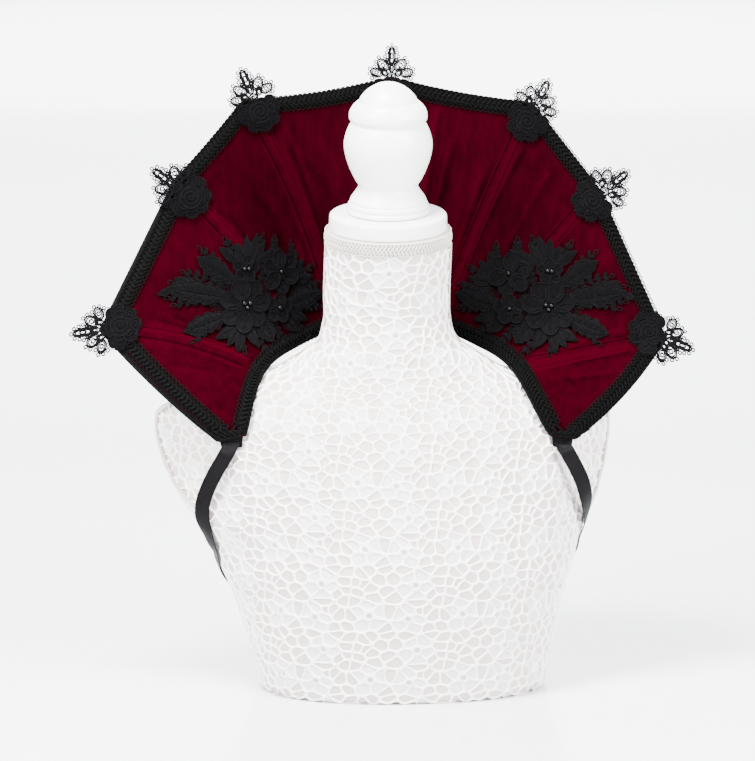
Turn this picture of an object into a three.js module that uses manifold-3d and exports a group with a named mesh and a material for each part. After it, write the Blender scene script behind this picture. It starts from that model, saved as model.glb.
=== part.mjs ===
// A boned stand-up collar, velvet inside and black outside, worn by a limbless
// dress form with a turned finial. Millimetres, +Z up, -Y towards the viewer,
// origin on the table, straight below the neck of the form.
import * as THREE from 'three';
import { mergeVertices } from 'three/addons/utils/BufferGeometryUtils.js';
import Module from 'manifold-3d';

const wasm = await Module();
wasm.setup();

const V = (x, y, z) => new THREE.Vector3(x, y, z);
const lerp = THREE.MathUtils.lerp;
const rad = THREE.MathUtils.degToRad;

// Cloth thicknesses and the gap kept wherever two pieces touch.
const SEAM_GAP = 0.3;
const FACING_WALL = 1.3;
const SHELL_WALL = 1.3;
const BRAID_THICK = 2.2;
const CHANNEL_RISE = 1.2;
const LACE_THICK = 1.5;
const RIBBON_THICK = 0.8;
const RIBBON_WIDTH = 13.5;

const velvetRed = new THREE.MeshStandardMaterial({ color: 0x6a0414, roughness: 0.85, metalness: 0 });
const liningBlack = new THREE.MeshStandardMaterial({ color: 0x1d1b1d, roughness: 0.7, metalness: 0 });
const braidBlack = new THREE.MeshStandardMaterial({ color: 0x121314, roughness: 0.75, metalness: 0 });
const laceBlack = new THREE.MeshStandardMaterial({ color: 0x1a1a1d, roughness: 0.8, metalness: 0 });
const satinBlack = new THREE.MeshStandardMaterial({ color: 0x2a272a, roughness: 0.35, metalness: 0 });
const formWhite = new THREE.MeshStandardMaterial({ color: 0xece6e4, roughness: 0.8, metalness: 0 });
const paintWhite = new THREE.MeshStandardMaterial({ color: 0xf3f2f0, roughness: 0.4, metalness: 0 });

const collar = new THREE.Group();

function addPiece(name, geometry, material) {
  const mesh = new THREE.Mesh(geometry, material);
  mesh.name = name;
  collar.add(mesh);
  return mesh;
}

function meshFrom(points, faces) {
  const geometry = new THREE.BufferGeometry();
  const flat = points.flatMap((p) => [p.x, p.y, p.z]);
  geometry.setAttribute('position', new THREE.Float32BufferAttribute(flat, 3));
  geometry.setIndex(faces.flat());
  return geometry;
}

// A closed solid through rings of equal, even length. Ring points run so that
// point j faces point (n - 1 - j), so each end closes with a strip of quads, and
// both sides of a thin wall split their quads along the same diagonal.
function loft(rings) {
  const n = rings[0].length;
  const last = (rings.length - 1) * n;
  const faces = [];
  for (let i = 0; i + 1 < rings.length; i += 1) {
    for (let j = 0; j < n; j += 1) {
      const a = i * n + j;
      const b = i * n + ((j + 1) % n);
      if (j < n / 2) faces.push([a, b, b + n], [a, b + n, a + n]);
      else faces.push([a, b, a + n], [b, b + n, a + n]);
    }
  }
  for (let j = 0; j + 1 < n / 2; j += 1) {
    const far = n - 1 - j;
    faces.push([j, far, far - 1], [j, far - 1, j + 1]);
    faces.push([last + j, last + far - 1, last + far], [last + j, last + j + 1, last + far - 1]);
  }
  return meshFrom(rings.flat(), faces);
}

function solidOf(geometry) {
  const bare = geometry.clone();
  bare.deleteAttribute('normal');
  bare.deleteAttribute('uv');
  const merged = mergeVertices(bare);
  const vertProperties = new Float32Array(merged.attributes.position.array);
  const triVerts = new Uint32Array(merged.index.array);
  return new wasm.Manifold(new wasm.Mesh({ numProp: 3, vertProperties, triVerts }));
}

function geometryOf(solid) {
  const mesh = solid.getMesh();
  const geometry = new THREE.BufferGeometry();
  geometry.setAttribute('position', new THREE.BufferAttribute(new Float32Array(mesh.vertProperties), 3));
  geometry.setIndex(Array.from(mesh.triVerts));
  return geometry;
}

// The dress form.
// Level sections from the table up to the neck. half: half width, side: how far
// its middle lies to the right, front and back: its reach in Y, mid: the Y of
// its widest line, square: the exponent of its front curve (2 is an ellipse).
const FORM_TURN = rad(7);
const BACK_SQUARE = 2.3;
const FORM_SECTIONS = [
  { z: 0, half: 123, side: 12, front: -104, mid: -12, back: 69, square: 2.2 },
  { z: 3, half: 127.5, side: 12, front: -109, mid: -12, back: 73, square: 2.2 },
  { z: 14, half: 131, side: 12, front: -112, mid: -12, back: 76, square: 2.2 },
  { z: 42, half: 138, side: 10.5, front: -117, mid: -11, back: 78, square: 2.15 },
  { z: 74, half: 145.5, side: 10, front: -122, mid: -10, back: 80, square: 2.05 },
  { z: 94, half: 152, side: 9, front: -124, mid: -9, back: 81, square: 1.95 },
  { z: 113, half: 160, side: 8, front: -124, mid: -8, back: 82, square: 1.9 },
  { z: 134, half: 166, side: 7, front: -122, mid: -5, back: 84, square: 1.8 },
  { z: 154, half: 178, side: 4, front: -118, mid: -2, back: 86, square: 1.75 },
  { z: 173, half: 189, side: 3, front: -113, mid: 3, back: 87, square: 1.7 },
  { z: 207, half: 204, side: 1, front: -103, mid: 8, back: 88, square: 1.7 },
  { z: 236, half: 210, side: 0, front: -93, mid: 12, back: 86, square: 1.7 },
  { z: 249, half: 206, side: 0, front: -85, mid: 16, back: 84, square: 1.7 },
  { z: 258, half: 190, side: 0, front: -80, mid: 17, back: 81, square: 1.7 },
  { z: 265, half: 170, side: 0, front: -75, mid: 17, back: 78, square: 1.7 },
  { z: 273, half: 145, side: 0, front: -71, mid: 15, back: 75, square: 1.75 },
  { z: 281, half: 120, side: 0, front: -67.5, mid: 12, back: 71, square: 1.8 },
  { z: 288, half: 101, side: 0, front: -65, mid: 9, back: 67, square: 1.85 },
  { z: 294, half: 91, side: 0, front: -63, mid: 6, back: 64, square: 1.9 },
  { z: 301, half: 80, side: 0, front: -62, mid: 3, back: 61, square: 2 },
  { z: 308, half: 69, side: 0, front: -59, mid: 1, back: 58, square: 2 },
  { z: 315, half: 60.5, side: 0, front: -57, mid: 0, back: 56, square: 2 },
  { z: 324, half: 57, side: -1, front: -55.5, mid: -1, back: 53.5, square: 2 },
  { z: 335, half: 55, side: -1, front: -54.5, mid: -1, back: 52.5, square: 2 },
];
// Round sections of the neck, which leans towards the viewer.
const NECK_SECTIONS = [
  { z: 355, x: -0.8, y: -1.5, radius: 54.5, tilt: 4 },
  { z: 375, x: -0.3, y: -4.8, radius: 54.5, tilt: 8 },
  { z: 395, x: 0.5, y: -8.3, radius: 54.5, tilt: 11 },
  { z: 414, x: 0.5, y: -12, radius: 54.5, tilt: 11 },
];
const NECK_TILT = rad(11);
// The flat plate that closes each armhole, in the form's own unturned frame.
const PLATE_NORMAL = V(0.8, -0.6, 0.03).normalize();
const PLATE_REACH = 158;
const FORM_SIDES = 40;

function sectionPoint(row, angle) {
  const c = Math.cos(angle);
  const s = Math.sin(angle);
  const square = s < 0 ? row.square : BACK_SQUARE;
  const depth = s < 0 ? row.mid - row.front : row.back - row.mid;
  const x = row.side + row.half * Math.sign(c) * Math.abs(c) ** (2 / square);
  const y = row.mid + depth * Math.sign(s) * Math.abs(s) ** (2 / square);
  return V(x, y, row.z).applyAxisAngle(V(0, 0, 1), FORM_TURN);
}

function neckPoint(row, angle) {
  const p = V(row.radius * Math.cos(angle), row.radius * Math.sin(angle), 0);
  p.applyAxisAngle(V(1, 0, 0), rad(row.tilt));
  return p.add(V(row.x, row.y, row.z));
}

function sectionAt(z) {
  const above = Math.max(1, FORM_SECTIONS.findIndex((row) => row.z >= z));
  const [low, high] = [FORM_SECTIONS[above - 1], FORM_SECTIONS[above]];
  const t = (z - low.z) / (high.z - low.z);
  const row = {};
  for (const key of Object.keys(low)) row[key] = lerp(low[key], high[key], t);
  return row;
}

function insideForm(p) {
  const row = sectionAt(p.z);
  const q = p.clone().applyAxisAngle(V(0, 0, 1), -FORM_TURN);
  const plate = V(Math.abs(q.x) * PLATE_NORMAL.x, q.y * PLATE_NORMAL.y, q.z * PLATE_NORMAL.z);
  if (plate.x + plate.y + plate.z > PLATE_REACH) return false;
  const front = q.y < row.mid;
  const depth = front ? row.mid - row.front : row.back - row.mid;
  const square = front ? row.square : BACK_SQUARE;
  const across = Math.abs(q.x - row.side) / row.half;
  return across ** square + (Math.abs(q.y - row.mid) / depth) ** square < 1;
}

function formTorso() {
  const rings = [];
  const turn = (2 * Math.PI) / FORM_SIDES;
  for (const row of FORM_SECTIONS) {
    rings.push(Array.from({ length: FORM_SIDES }, (_, j) => sectionPoint(row, (j + 0.5) * turn - Math.PI)));
  }
  for (const row of NECK_SECTIONS) {
    rings.push(Array.from({ length: FORM_SIDES }, (_, j) => neckPoint(row, (j + 0.5) * turn - Math.PI)));
  }
  let solid = solidOf(loft(rings));
  for (const side of [-1, 1]) {
    const inward = V(-side * PLATE_NORMAL.x, -PLATE_NORMAL.y, -PLATE_NORMAL.z);
    inward.applyAxisAngle(V(0, 0, 1), FORM_TURN);
    solid = solid.trimByPlane(inward.toArray(), -PLATE_REACH);
  }
  return geometryOf(solid);
}

addPiece('form_torso', formTorso(), formWhite);

// The braid round the top of the neck, the cap and the finial share the
// leaning axis of the neck's top.
const NECK_TOP = NECK_SECTIONS.at(-1);
const TRIM_WIDTH = 10.5;
const TRIM_RISE = 1.7;
const CAP_HEIGHT = 15;
const CAP_RADIUS = 52.8;
const CAP_EDGE = 4;
const LATHE_SIDES = 24;

const FINIAL_PROFILE = [
  [0, 0], [36.2, 0], [36.8, 3], [34.8, 6.6], [35, 12], [31.8, 16.8], [28.4, 20.2], [26.6, 23.6],
  [27, 25.5], [29.7, 29.4], [33.8, 38.6], [37.2, 47.8], [39.2, 59.2], [39.2, 66], [36.7, 75.3],
  [33.3, 83], [34.5, 86], [33.8, 92.5], [29.2, 99.4], [25.2, 101.7], [23.7, 104], [19.8, 109.8],
  [11.7, 116.1], [0, 118.3],
];

function lathe(profile, name, material, rise) {
  const geometry = new THREE.LatheGeometry(profile.map(([r, h]) => new THREE.Vector2(r, h)), LATHE_SIDES);
  geometry.rotateX(Math.PI / 2);
  const mesh = addPiece(name, geometry, material);
  mesh.rotation.x = NECK_TILT;
  mesh.position.set(NECK_TOP.x, NECK_TOP.y, NECK_TOP.z);
  mesh.position.add(V(0, -Math.sin(NECK_TILT), Math.cos(NECK_TILT)).multiplyScalar(rise));
}

const trimInner = NECK_TOP.radius + 2.5 * SEAM_GAP;
const trimOuter = trimInner + TRIM_RISE;
lathe([
  [trimInner, -TRIM_WIDTH], [trimOuter - 0.5, -TRIM_WIDTH], [trimOuter, -TRIM_WIDTH * 0.7],
  [trimOuter, -TRIM_WIDTH * 0.25], [trimOuter - 0.5, 0], [trimInner, 0], [trimInner, -TRIM_WIDTH],
], 'neck_trim', formWhite, 0);

lathe([
  [0, 0], [CAP_RADIUS - 0.6, 0], [CAP_RADIUS, 1.2], [CAP_RADIUS, CAP_HEIGHT - CAP_EDGE],
  [CAP_RADIUS - 1.2, CAP_HEIGHT - 1.2], [CAP_RADIUS - CAP_EDGE, CAP_HEIGHT], [0, CAP_HEIGHT],
], 'neck_cap', paintWhite, SEAM_GAP);

lathe(FINIAL_PROFILE, 'finial', paintWhite, CAP_HEIGHT + 2 * SEAM_GAP);

// The collar's surface.
// One row for each line from neck to rim, from the left front corner round the
// back to the right one. root and tip: its ends on the velvet side, bow: how
// far the bone bends off its straight line at the middle, in X and Z.
const LINES = [
  { name: 'corner_left', root: [-124.5, -84, 236.5], tip: [-151.5, -77, 229.5], bow: [0, 0] },
  { name: 'low_left', root: [-109, -17, 286.5], tip: [-259, -20, 323.5], bow: [0, 9] },
  { name: 'mid_left', root: [-79, 30, 305.5], tip: [-196.6, 45, 453.5], bow: [7, 7] },
  { name: 'high_left', root: [-45, 58, 317], tip: [-133.2, 85, 528.5], bow: [9, 5] },
  { name: 'centre', root: [0, 70, 322], tip: [3.6, 124, 549], bow: [0, 0] },
  { name: 'high_right', root: [45, 68, 317], tip: [136.1, 117, 525.2], bow: [-2, 1] },
  { name: 'mid_right', root: [79.7, 50, 304.5], tip: [197.5, 93, 446], bow: [-2, 3] },
  { name: 'low_right', root: [111, 7, 287.5], tip: [256.4, 42, 311.7], bow: [0, 0] },
  { name: 'corner_right', root: [144, -50, 232], tip: [169, -42, 228], bow: [0, 0] },
];
// One row for each panel between two lines. sag: how far its rim dips in at the
// middle, inset: how far in from the rim the braid is sewn, belly: how far the
// cloth swells away from the viewer between its bones, forward: how far its neck
// edge bends over the form's chest.
const PANELS = [
  { sag: -4, inset: 4.5, belly: 0, forward: 14 },
  { sag: 0, inset: 4.5, belly: 4, forward: 0 },
  { sag: 1, inset: 1, belly: 4, forward: 0 },
  { sag: 4.5, inset: 1, belly: 3, forward: 0 },
  { sag: 3.2, inset: 1.6, belly: 3, forward: 0 },
  { sag: 0, inset: 0.4, belly: 3, forward: 0 },
  { sag: 0, inset: 0.2, belly: 3, forward: 0 },
  { sag: -7, inset: 1.6, belly: 0, forward: 20 },
];
const LAST_LINE = LINES.length - 1;
const DISH = 7;
// Soft vertical folds that lie between the bones. at: place along the rim in
// panels, from and to: neck to rim, wide: in panels, deep: into the cloth.
const FOLDS = [
  { at: 2.62, from: 0.05, to: 0.8, wide: 0.1, deep: 3 },
  { at: 3.4, from: 0.05, to: 0.75, wide: 0.14, deep: 2.5 },
  { at: 4.3, from: 0.1, to: 1, wide: 0.1, deep: 2.5 },
  { at: 4.62, from: 0.05, to: 0.8, wide: 0.13, deep: 4 },
  { at: 6.6, from: 0.1, to: 0.75, wide: 0.16, deep: 2 },
  { at: 1.5, from: 0.1, to: 0.85, wide: 0.2, deep: 2 },
  { at: 0.55, from: 0.15, to: 0.8, wide: 0.16, deep: 2.5 },
  { at: 7.5, from: 0.15, to: 0.8, wide: 0.18, deep: 2.5 },
];

const rootCurve = new THREE.CatmullRomCurve3(LINES.map((line) => V(...line.root)), false, 'centripetal');
const rimMiddle = V(0, 20, 330);

// The neck edge, carried straight on past both corners.
function rootPoint(u) {
  const inside = THREE.MathUtils.clamp(u, 0, LAST_LINE);
  const p = rootCurve.getPoint(inside / LAST_LINE);
  if (u === inside) return p;
  const end = inside / LAST_LINE;
  const length = LINES[1].root[0] - LINES[0].root[0];
  return p.addScaledVector(rootCurve.getTangent(end), (u - inside) * 2 * length);
}

function panelOf(u) {
  return THREE.MathUtils.clamp(Math.floor(u), 0, LAST_LINE - 1);
}

function smooth(t) {
  const c = THREE.MathUtils.clamp(t, 0, 1);
  return c * c * (3 - 2 * c);
}

// A point of the velvet's face: u counts lines from the left corner, v runs from
// the neck edge at 0 to the rim at 1.
function facePoint(u, v) {
  const k = panelOf(u);
  const w = u - k;
  const inPanel = THREE.MathUtils.clamp(w, 0, 1);
  const across = 4 * inPanel * (1 - inPanel);
  const along = 4 * v * (1 - v);
  const [a, b] = [LINES[k], LINES[k + 1]];
  const root = rootPoint(u);
  const rim = V(...a.tip).lerp(V(...b.tip), w);
  const inward = rimMiddle.clone().sub(rim).setLength(PANELS[k].sag * across);
  const p = root.lerp(rim.add(inward), v);
  const bowed = Math.max(along, 0);
  p.x += lerp(a.bow[0], b.bow[0], w) * bowed;
  p.z += lerp(a.bow[1], b.bow[1], w) * bowed;
  p.y += DISH * bowed * Math.sin((Math.PI * THREE.MathUtils.clamp(u, 0, LAST_LINE)) / LAST_LINE);
  p.y += PANELS[k].belly * across * smooth(v * 2) * smooth((1.4 - v) * 2);
  for (const fold of FOLDS) {
    const off = (u - fold.at) / fold.wide;
    const reach = smooth((v - fold.from) * 6) * smooth((fold.to - v) * 6);
    p.y += fold.deep * Math.exp(-off * off) * reach;
  }
  p.y -= PANELS[k].forward * across * (1 - Math.min(v, 1));
  return p;
}

const STEP = 1e-3;
function faceNormal(u, v) {
  const du = facePoint(u + STEP * 8, v).sub(facePoint(u - STEP * 8, v));
  const dv = facePoint(u, v + STEP * 8).sub(facePoint(u, v - STEP * 8));
  return du.cross(dv).normalize();
}

function raised(u, v, lift) {
  return facePoint(u, v).addScaledVector(faceNormal(u, v), lift);
}

// Finds the place on the velvet that lies behind a point of the front view.
const SEARCH = [];
for (let u = 0; u <= LAST_LINE; u += 0.25) {
  for (let v = 0; v <= 1.21; v += 0.1) SEARCH.push({ u, v, p: facePoint(u, v) });
}

function placeBehind(x, z) {
  let best = SEARCH[0];
  let least = Infinity;
  for (const entry of SEARCH) {
    const far = (entry.p.x - x) ** 2 + (entry.p.z - z) ** 2;
    if (far < least) [best, least] = [entry, far];
  }
  let { u, v } = best;
  for (let turn = 0; turn < 12; turn += 1) {
    const p = facePoint(u, v);
    const du = facePoint(u + STEP, v).sub(p).divideScalar(STEP);
    const dv = facePoint(u, v + STEP).sub(p).divideScalar(STEP);
    const det = du.x * dv.z - du.z * dv.x;
    const [ex, ez] = [x - p.x, z - p.z];
    u += THREE.MathUtils.clamp((ex * dv.z - ez * dv.x) / det, -0.2, 0.2);
    v += THREE.MathUtils.clamp((ez * du.x - ex * du.z) / det, -0.15, 0.15);
    u = THREE.MathUtils.clamp(u, -0.05, LAST_LINE + 0.05);
  }
  return { u, v };
}

function overPanel(x, z, lift) {
  const { u, v } = placeBehind(x, z);
  return raised(u, v, lift);
}

// Velvet facing and black outer shell: two walls, one behind the other.
const COLUMNS_A_PANEL = 6;
const ROWS = 8;

function clothWall(front, back) {
  const rings = [];
  for (let i = 0; i <= LAST_LINE * COLUMNS_A_PANEL; i += 1) {
    const u = i / COLUMNS_A_PANEL;
    const near = [];
    const far = [];
    for (let j = 0; j <= ROWS; j += 1) {
      near.push(raised(u, j / ROWS, front));
      far.push(raised(u, j / ROWS, back));
    }
    rings.push([...near.reverse(), ...far]);
  }
  return loft(rings);
}

addPiece('velvet_facing', clothWall(0, -FACING_WALL), velvetRed);
const shellFront = -FACING_WALL - SEAM_GAP;
addPiece('outer_shell', clothWall(shellFront, shellFront - SHELL_WALL), liningBlack);

// Bone channels: a raised strip of velvet over each bone, one on every inner
// line, stopping short of the braid at both ends.
const CHANNEL_WIDTH = 9.5;
const BRAID_WIDTH = 12.6;
const CHANNEL_ROWS = 10;
const CHANNEL_FROM = 20;
const CHANNEL_TO = 33;

// How far off the velvet's true curve a piece is laid, so that it also clears
// the flats between the cloth's folds.
const LAID = SEAM_GAP + 0.4;

function flatOf(p) {
  return new THREE.Vector2(p.x, p.z);
}

function channel(line) {
  const length = facePoint(line, 1).distanceTo(facePoint(line, 0));
  const from = CHANNEL_FROM / length;
  const to = 1 - CHANNEL_TO / length;
  const rings = [];
  for (let i = 0; i <= CHANNEL_ROWS; i += 1) {
    const v = lerp(from, to, i / CHANNEL_ROWS);
    const middle = flatOf(facePoint(line, v));
    const ahead = flatOf(facePoint(line, v + STEP)).sub(middle).normalize();
    const across = new THREE.Vector2(ahead.y, -ahead.x);
    const point = (share, lift) => {
      const q = middle.clone().addScaledVector(across, share * CHANNEL_WIDTH);
      return overPanel(q.x, q.y, LAID + lift);
    };
    const top = [point(-0.5, 0.3), point(0, CHANNEL_RISE), point(0.5, 0.3)];
    const bottom = [point(0.5, 0), point(0, 0), point(-0.5, 0)];
    rings.push([...top, ...bottom]);
  }
  return loft(rings);
}

for (let line = 1; line < LAST_LINE; line += 1) {
  addPiece(`bone_channel_${LINES[line].name}`, channel(line), velvetRed);
}

// Gimp braid: one length round the rim and one along the neck edge. Each is a
// low band; its middle stands a little higher than its picot edges.

function insetAt(u) {
  const k = panelOf(u);
  const w = u - k;
  const before = PANELS[Math.max(k - 1, 0)].inset;
  const after = PANELS[Math.min(k + 1, PANELS.length - 1)].inset;
  const here = PANELS[k].inset;
  const rising = lerp((before + here) / 2, here, smooth(w * 5));
  return lerp(rising, (here + after) / 2, smooth((w - 0.8) * 5));
}

function band(edge, inward, width, thick) {
  const rings = [];
  for (let i = 0; i <= LAST_LINE * COLUMNS_A_PANEL; i += 1) {
    const u = i / COLUMNS_A_PANEL;
    const middle = flatOf(facePoint(u, edge));
    const reach = 0.06;
    const ahead = flatOf(facePoint(u + reach, edge)).sub(flatOf(facePoint(u - reach, edge))).normalize();
    const across = new THREE.Vector2(ahead.y, -ahead.x).multiplyScalar(inward);
    const start = edge > 0.5 ? insetAt(u) : 0.5;
    const point = (share, lift) => {
      const q = middle.clone().addScaledVector(across, start + share * width);
      return overPanel(q.x, q.y, LAID + lift);
    };
    const top = [point(0, thick * 0.65), point(0.5, thick), point(1, thick * 0.65)];
    const bottom = [point(1, 0), point(0.5, 0), point(0, 0)];
    rings.push([...top, ...bottom]);
  }
  return loft(inward > 0 ? rings : rings.reverse());
}

const rimBraid = band(1, 1, BRAID_WIDTH, BRAID_THICK);
const rimClearance = band(1, 1, BRAID_WIDTH + SEAM_GAP, BRAID_THICK * 2);
addPiece('gimp_braid_rim', rimBraid, braidBlack);
const neckBraid = solidOf(band(0, -1, BRAID_WIDTH, BRAID_THICK)).subtract(solidOf(rimClearance));
addPiece('gimp_braid_neck', geometryOf(neckBraid), braidBlack);

// Lace: flat shapes in the front view, joined, given a thickness and laid over
// the velvet at a lift that clears what is sewn beneath.
const { CrossSection } = wasm;

function oval(x, y, long, wide, angle, points) {
  const ring = [];
  for (let i = 0; i < points; i += 1) {
    const a = (2 * Math.PI * i) / points;
    const q = new THREE.Vector2(long * Math.cos(a), wide * Math.sin(a)).rotateAround(new THREE.Vector2(), angle);
    ring.push([x + q.x, y + q.y]);
  }
  return new CrossSection([ring]);
}

// A leaf from base to tip with lobed sides.
function leaf(base, tip, width, lobes) {
  const from = new THREE.Vector2(...base);
  const along = new THREE.Vector2(...tip).sub(from);
  const across = new THREE.Vector2(-along.y, along.x).normalize().multiplyScalar(width / 2);
  const steps = lobes * 2 + 2;
  const side = (sign) => Array.from({ length: steps + 1 }, (_, i) => {
    const t = i / steps;
    const lobe = i % 2 === 0 ? 0.72 : 1;
    const half = Math.sin(Math.PI * t ** 0.85) * (lobes > 0 ? lobe : 1) + 0.12;
    return from.clone().addScaledVector(along, t).addScaledVector(across, sign * half).toArray();
  });
  return new CrossSection([[...side(-1), ...side(1).reverse()]]);
}

function drape(flat, lift, edge) {
  const mesh = flat.refineToLength(edge).getMesh();
  const points = [];
  for (let i = 0; i < mesh.vertProperties.length; i += 3) {
    const [x, y, h] = mesh.vertProperties.slice(i, i + 3);
    points.push(overPanel(x, y, lift + h));
  }
  const geometry = new THREE.BufferGeometry().setFromPoints(points);
  geometry.setIndex(Array.from(mesh.triVerts));
  return geometry;
}

// Point lace on each inner line's tip: a rose on the braid and a fan of loops
// beyond it. shift: how far the rose sits off the end of the bone in the front
// view, turn: how far the fan is turned from the bone's line, in degrees.
const TIP_SEATS = {
  low_left: { shift: [4, 4.5], turn: 22 },
  mid_left: { shift: [6, -3.5], turn: 14 },
  high_left: { shift: [8.5, 1], turn: 1 },
  centre: { shift: [0, 0], turn: 0 },
  high_right: { shift: [0.5, -5], turn: -4 },
  mid_right: { shift: [2.5, -1.5], turn: -11 },
  low_right: { shift: [-3, 5], turn: -31 },
};
// along runs outward from the cloth's tip, aside to its left and right.
const TIP_LIFT = LAID + BRAID_THICK + SEAM_GAP + 0.2;
const MOTIF_RISE = 1;
const TIP_LOOPS = [
  { along: 18, aside: 0, long: 9, wide: 3.4, turn: 0, hole: [6, 1.4] },
  { along: 9, aside: 0, long: 4.5, wide: 4, turn: 0, hole: null },
  { along: 10.3, aside: 8.8, long: 6.4, wide: 5, turn: 40, hole: [2.9, 2.3] },
  { along: 10.3, aside: -8.8, long: 6.4, wide: 5, turn: -40, hole: [2.9, 2.3] },
  { along: 2.5, aside: 14.8, long: 6, wide: 4.2, turn: 75, hole: [2.8, 1.6] },
  { along: 2.5, aside: -14.8, long: 6, wide: 4.2, turn: -75, hole: [2.8, 1.6] },
  { along: 1, aside: 0, long: 6.5, wide: 15, turn: 0, hole: null },
];
const MOTIF_PETALS = [
  { along: -4, aside: 12 }, { along: -4, aside: -12 }, { along: -14, aside: 13.5 },
  { along: -14, aside: -13.5 }, { along: -24, aside: 8.5 }, { along: -24, aside: -8.5 },
  { along: -27.5, aside: 0 },
];
const MOTIF_MIDDLE = -15;
const MOTIF_RADIUS = 12;
const PETAL_RADIUS = 6;

function laceTip(line) {
  const { name, root, tip } = LINES[line];
  const { shift, turn } = TIP_SEATS[name];
  const out = flatOf(V(...tip)).sub(flatOf(V(...root))).normalize();
  const rosePlace = flatOf(V(...tip)).addScaledVector(out, MOTIF_MIDDLE).add(new THREE.Vector2(...shift));
  out.rotateAround(new THREE.Vector2(), rad(turn));
  const side = new THREE.Vector2(-out.y, out.x);
  const heading = Math.atan2(out.y, out.x);
  const at = (along, aside) => rosePlace.clone()
    .addScaledVector(out, along - MOTIF_MIDDLE).addScaledVector(side, aside);
  const shapes = [];
  const holes = [];
  for (const loop of TIP_LOOPS) {
    const q = at(loop.along, loop.aside);
    const angle = heading + rad(loop.turn);
    shapes.push(oval(q.x, q.y, loop.long, loop.wide, angle, 9));
    if (loop.hole) holes.push(oval(q.x, q.y, ...loop.hole, angle, 6));
  }
  const gap = at(3.4, 0);
  holes.push(oval(gap.x, gap.y, 2.1, 2.6, heading, 6));
  for (const petal of MOTIF_PETALS) {
    const q = at(petal.along, petal.aside);
    shapes.push(oval(q.x, q.y, PETAL_RADIUS, PETAL_RADIUS, heading, 7));
  }
  const middle = at(MOTIF_MIDDLE, 0);
  const motif = oval(middle.x, middle.y, MOTIF_RADIUS, MOTIF_RADIUS, heading, 12);
  const base = CrossSection.union([...shapes, motif]).subtract(CrossSection.union(holes)).simplify(0.5);
  const rose = oval(middle.x, middle.y, MOTIF_RADIUS * 0.8, MOTIF_RADIUS * 0.8, heading, 10);
  const flat = base.extrude(LACE_THICK).add(rose.extrude(LACE_THICK + MOTIF_RISE));
  return drape(flat, TIP_LIFT, 24);
}

for (let line = 1; line < LAST_LINE; line += 1) {
  addPiece(`lace_tip_${LINES[line].name}`, laceTip(line), laceBlack);
}

// The two floral appliques share one layout, measured from the middle outwards
// and upwards; the left one is its mirror, drawn in towards the neck.
const APPLIQUE_LIFT = LAID + CHANNEL_RISE + 4 * SEAM_GAP;
const FLOWER_RISE = 1.8;
const LEAVES = [
  { base: [16, -5], tip: [75, 3], width: 18, lobes: 5 },
  { base: [70, 1], tip: [82, -3], width: 5, lobes: 0 },
  { base: [50, 2], tip: [66, 12.5], width: 8, lobes: 0 },
  { base: [13, 8], tip: [48.5, 31], width: 16, lobes: 4 },
  { base: [18, -20], tip: [56.5, -35], width: 16, lobes: 4 },
  { base: [-10, -20], tip: [-29, -43], width: 15, lobes: 4 },
  { base: [-38, -12], tip: [-82.5, 0.5], width: 17, lobes: 5 },
  { base: [-48, 10], tip: [-70, 15], width: 9, lobes: 1 },
  { base: [-46, 14], tip: [-60, 30], width: 8, lobes: 1 },
  { base: [-44, 16], tip: [-51, 38], width: 8, lobes: 1 },
  { base: [-36, -22], tip: [-54, -34], width: 9, lobes: 1 },
  { base: [-44, -16], tip: [-65, -24], width: 8, lobes: 1 },
  { base: [3, 24], tip: [-5, 53], width: 7.5, lobes: 0 },
  { base: [4, 26], tip: [5.5, 50.5], width: 6.5, lobes: 0 },
  { base: [6, 24], tip: [14, 44], width: 7, lobes: 0 },
  { base: [0, 24], tip: [-14, 46], width: 7, lobes: 0 },
  { base: [-4, 26], tip: [-32, 40], width: 7.5, lobes: 1 },
  { base: [8, 24], tip: [29.5, 40], width: 7.5, lobes: 1 },
  { base: [6, -28], tip: [28, -40.5], width: 8, lobes: 0 },
  { base: [6, -28], tip: [17, -46.5], width: 7, lobes: 0 },
  { base: [5, -28], tip: [7.5, -51.5], width: 7.5, lobes: 0 },
  { base: [3, -28], tip: [-12.5, -46.5], width: 8, lobes: 0 },
];
const FLOWERS = [
  { at: [-32.4, 17.5], ring: 11.5, petal: 8.5, count: 6 },
  { at: [2.6, -12.3], ring: 15, petal: 9.5, count: 7 },
  { at: [4.4, 20], ring: 6.5, petal: 6, count: 5 },
  { at: [-32.7, -14.4], ring: 7, petal: 7, count: 5 },
];
const JOINS = [
  { at: [-17, 0], radius: 8 },
  { at: [-50, 4], radius: 10 },
  { at: [-14, 26], radius: 6 },
];
const GAP_CLOSED = 0.9;

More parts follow.
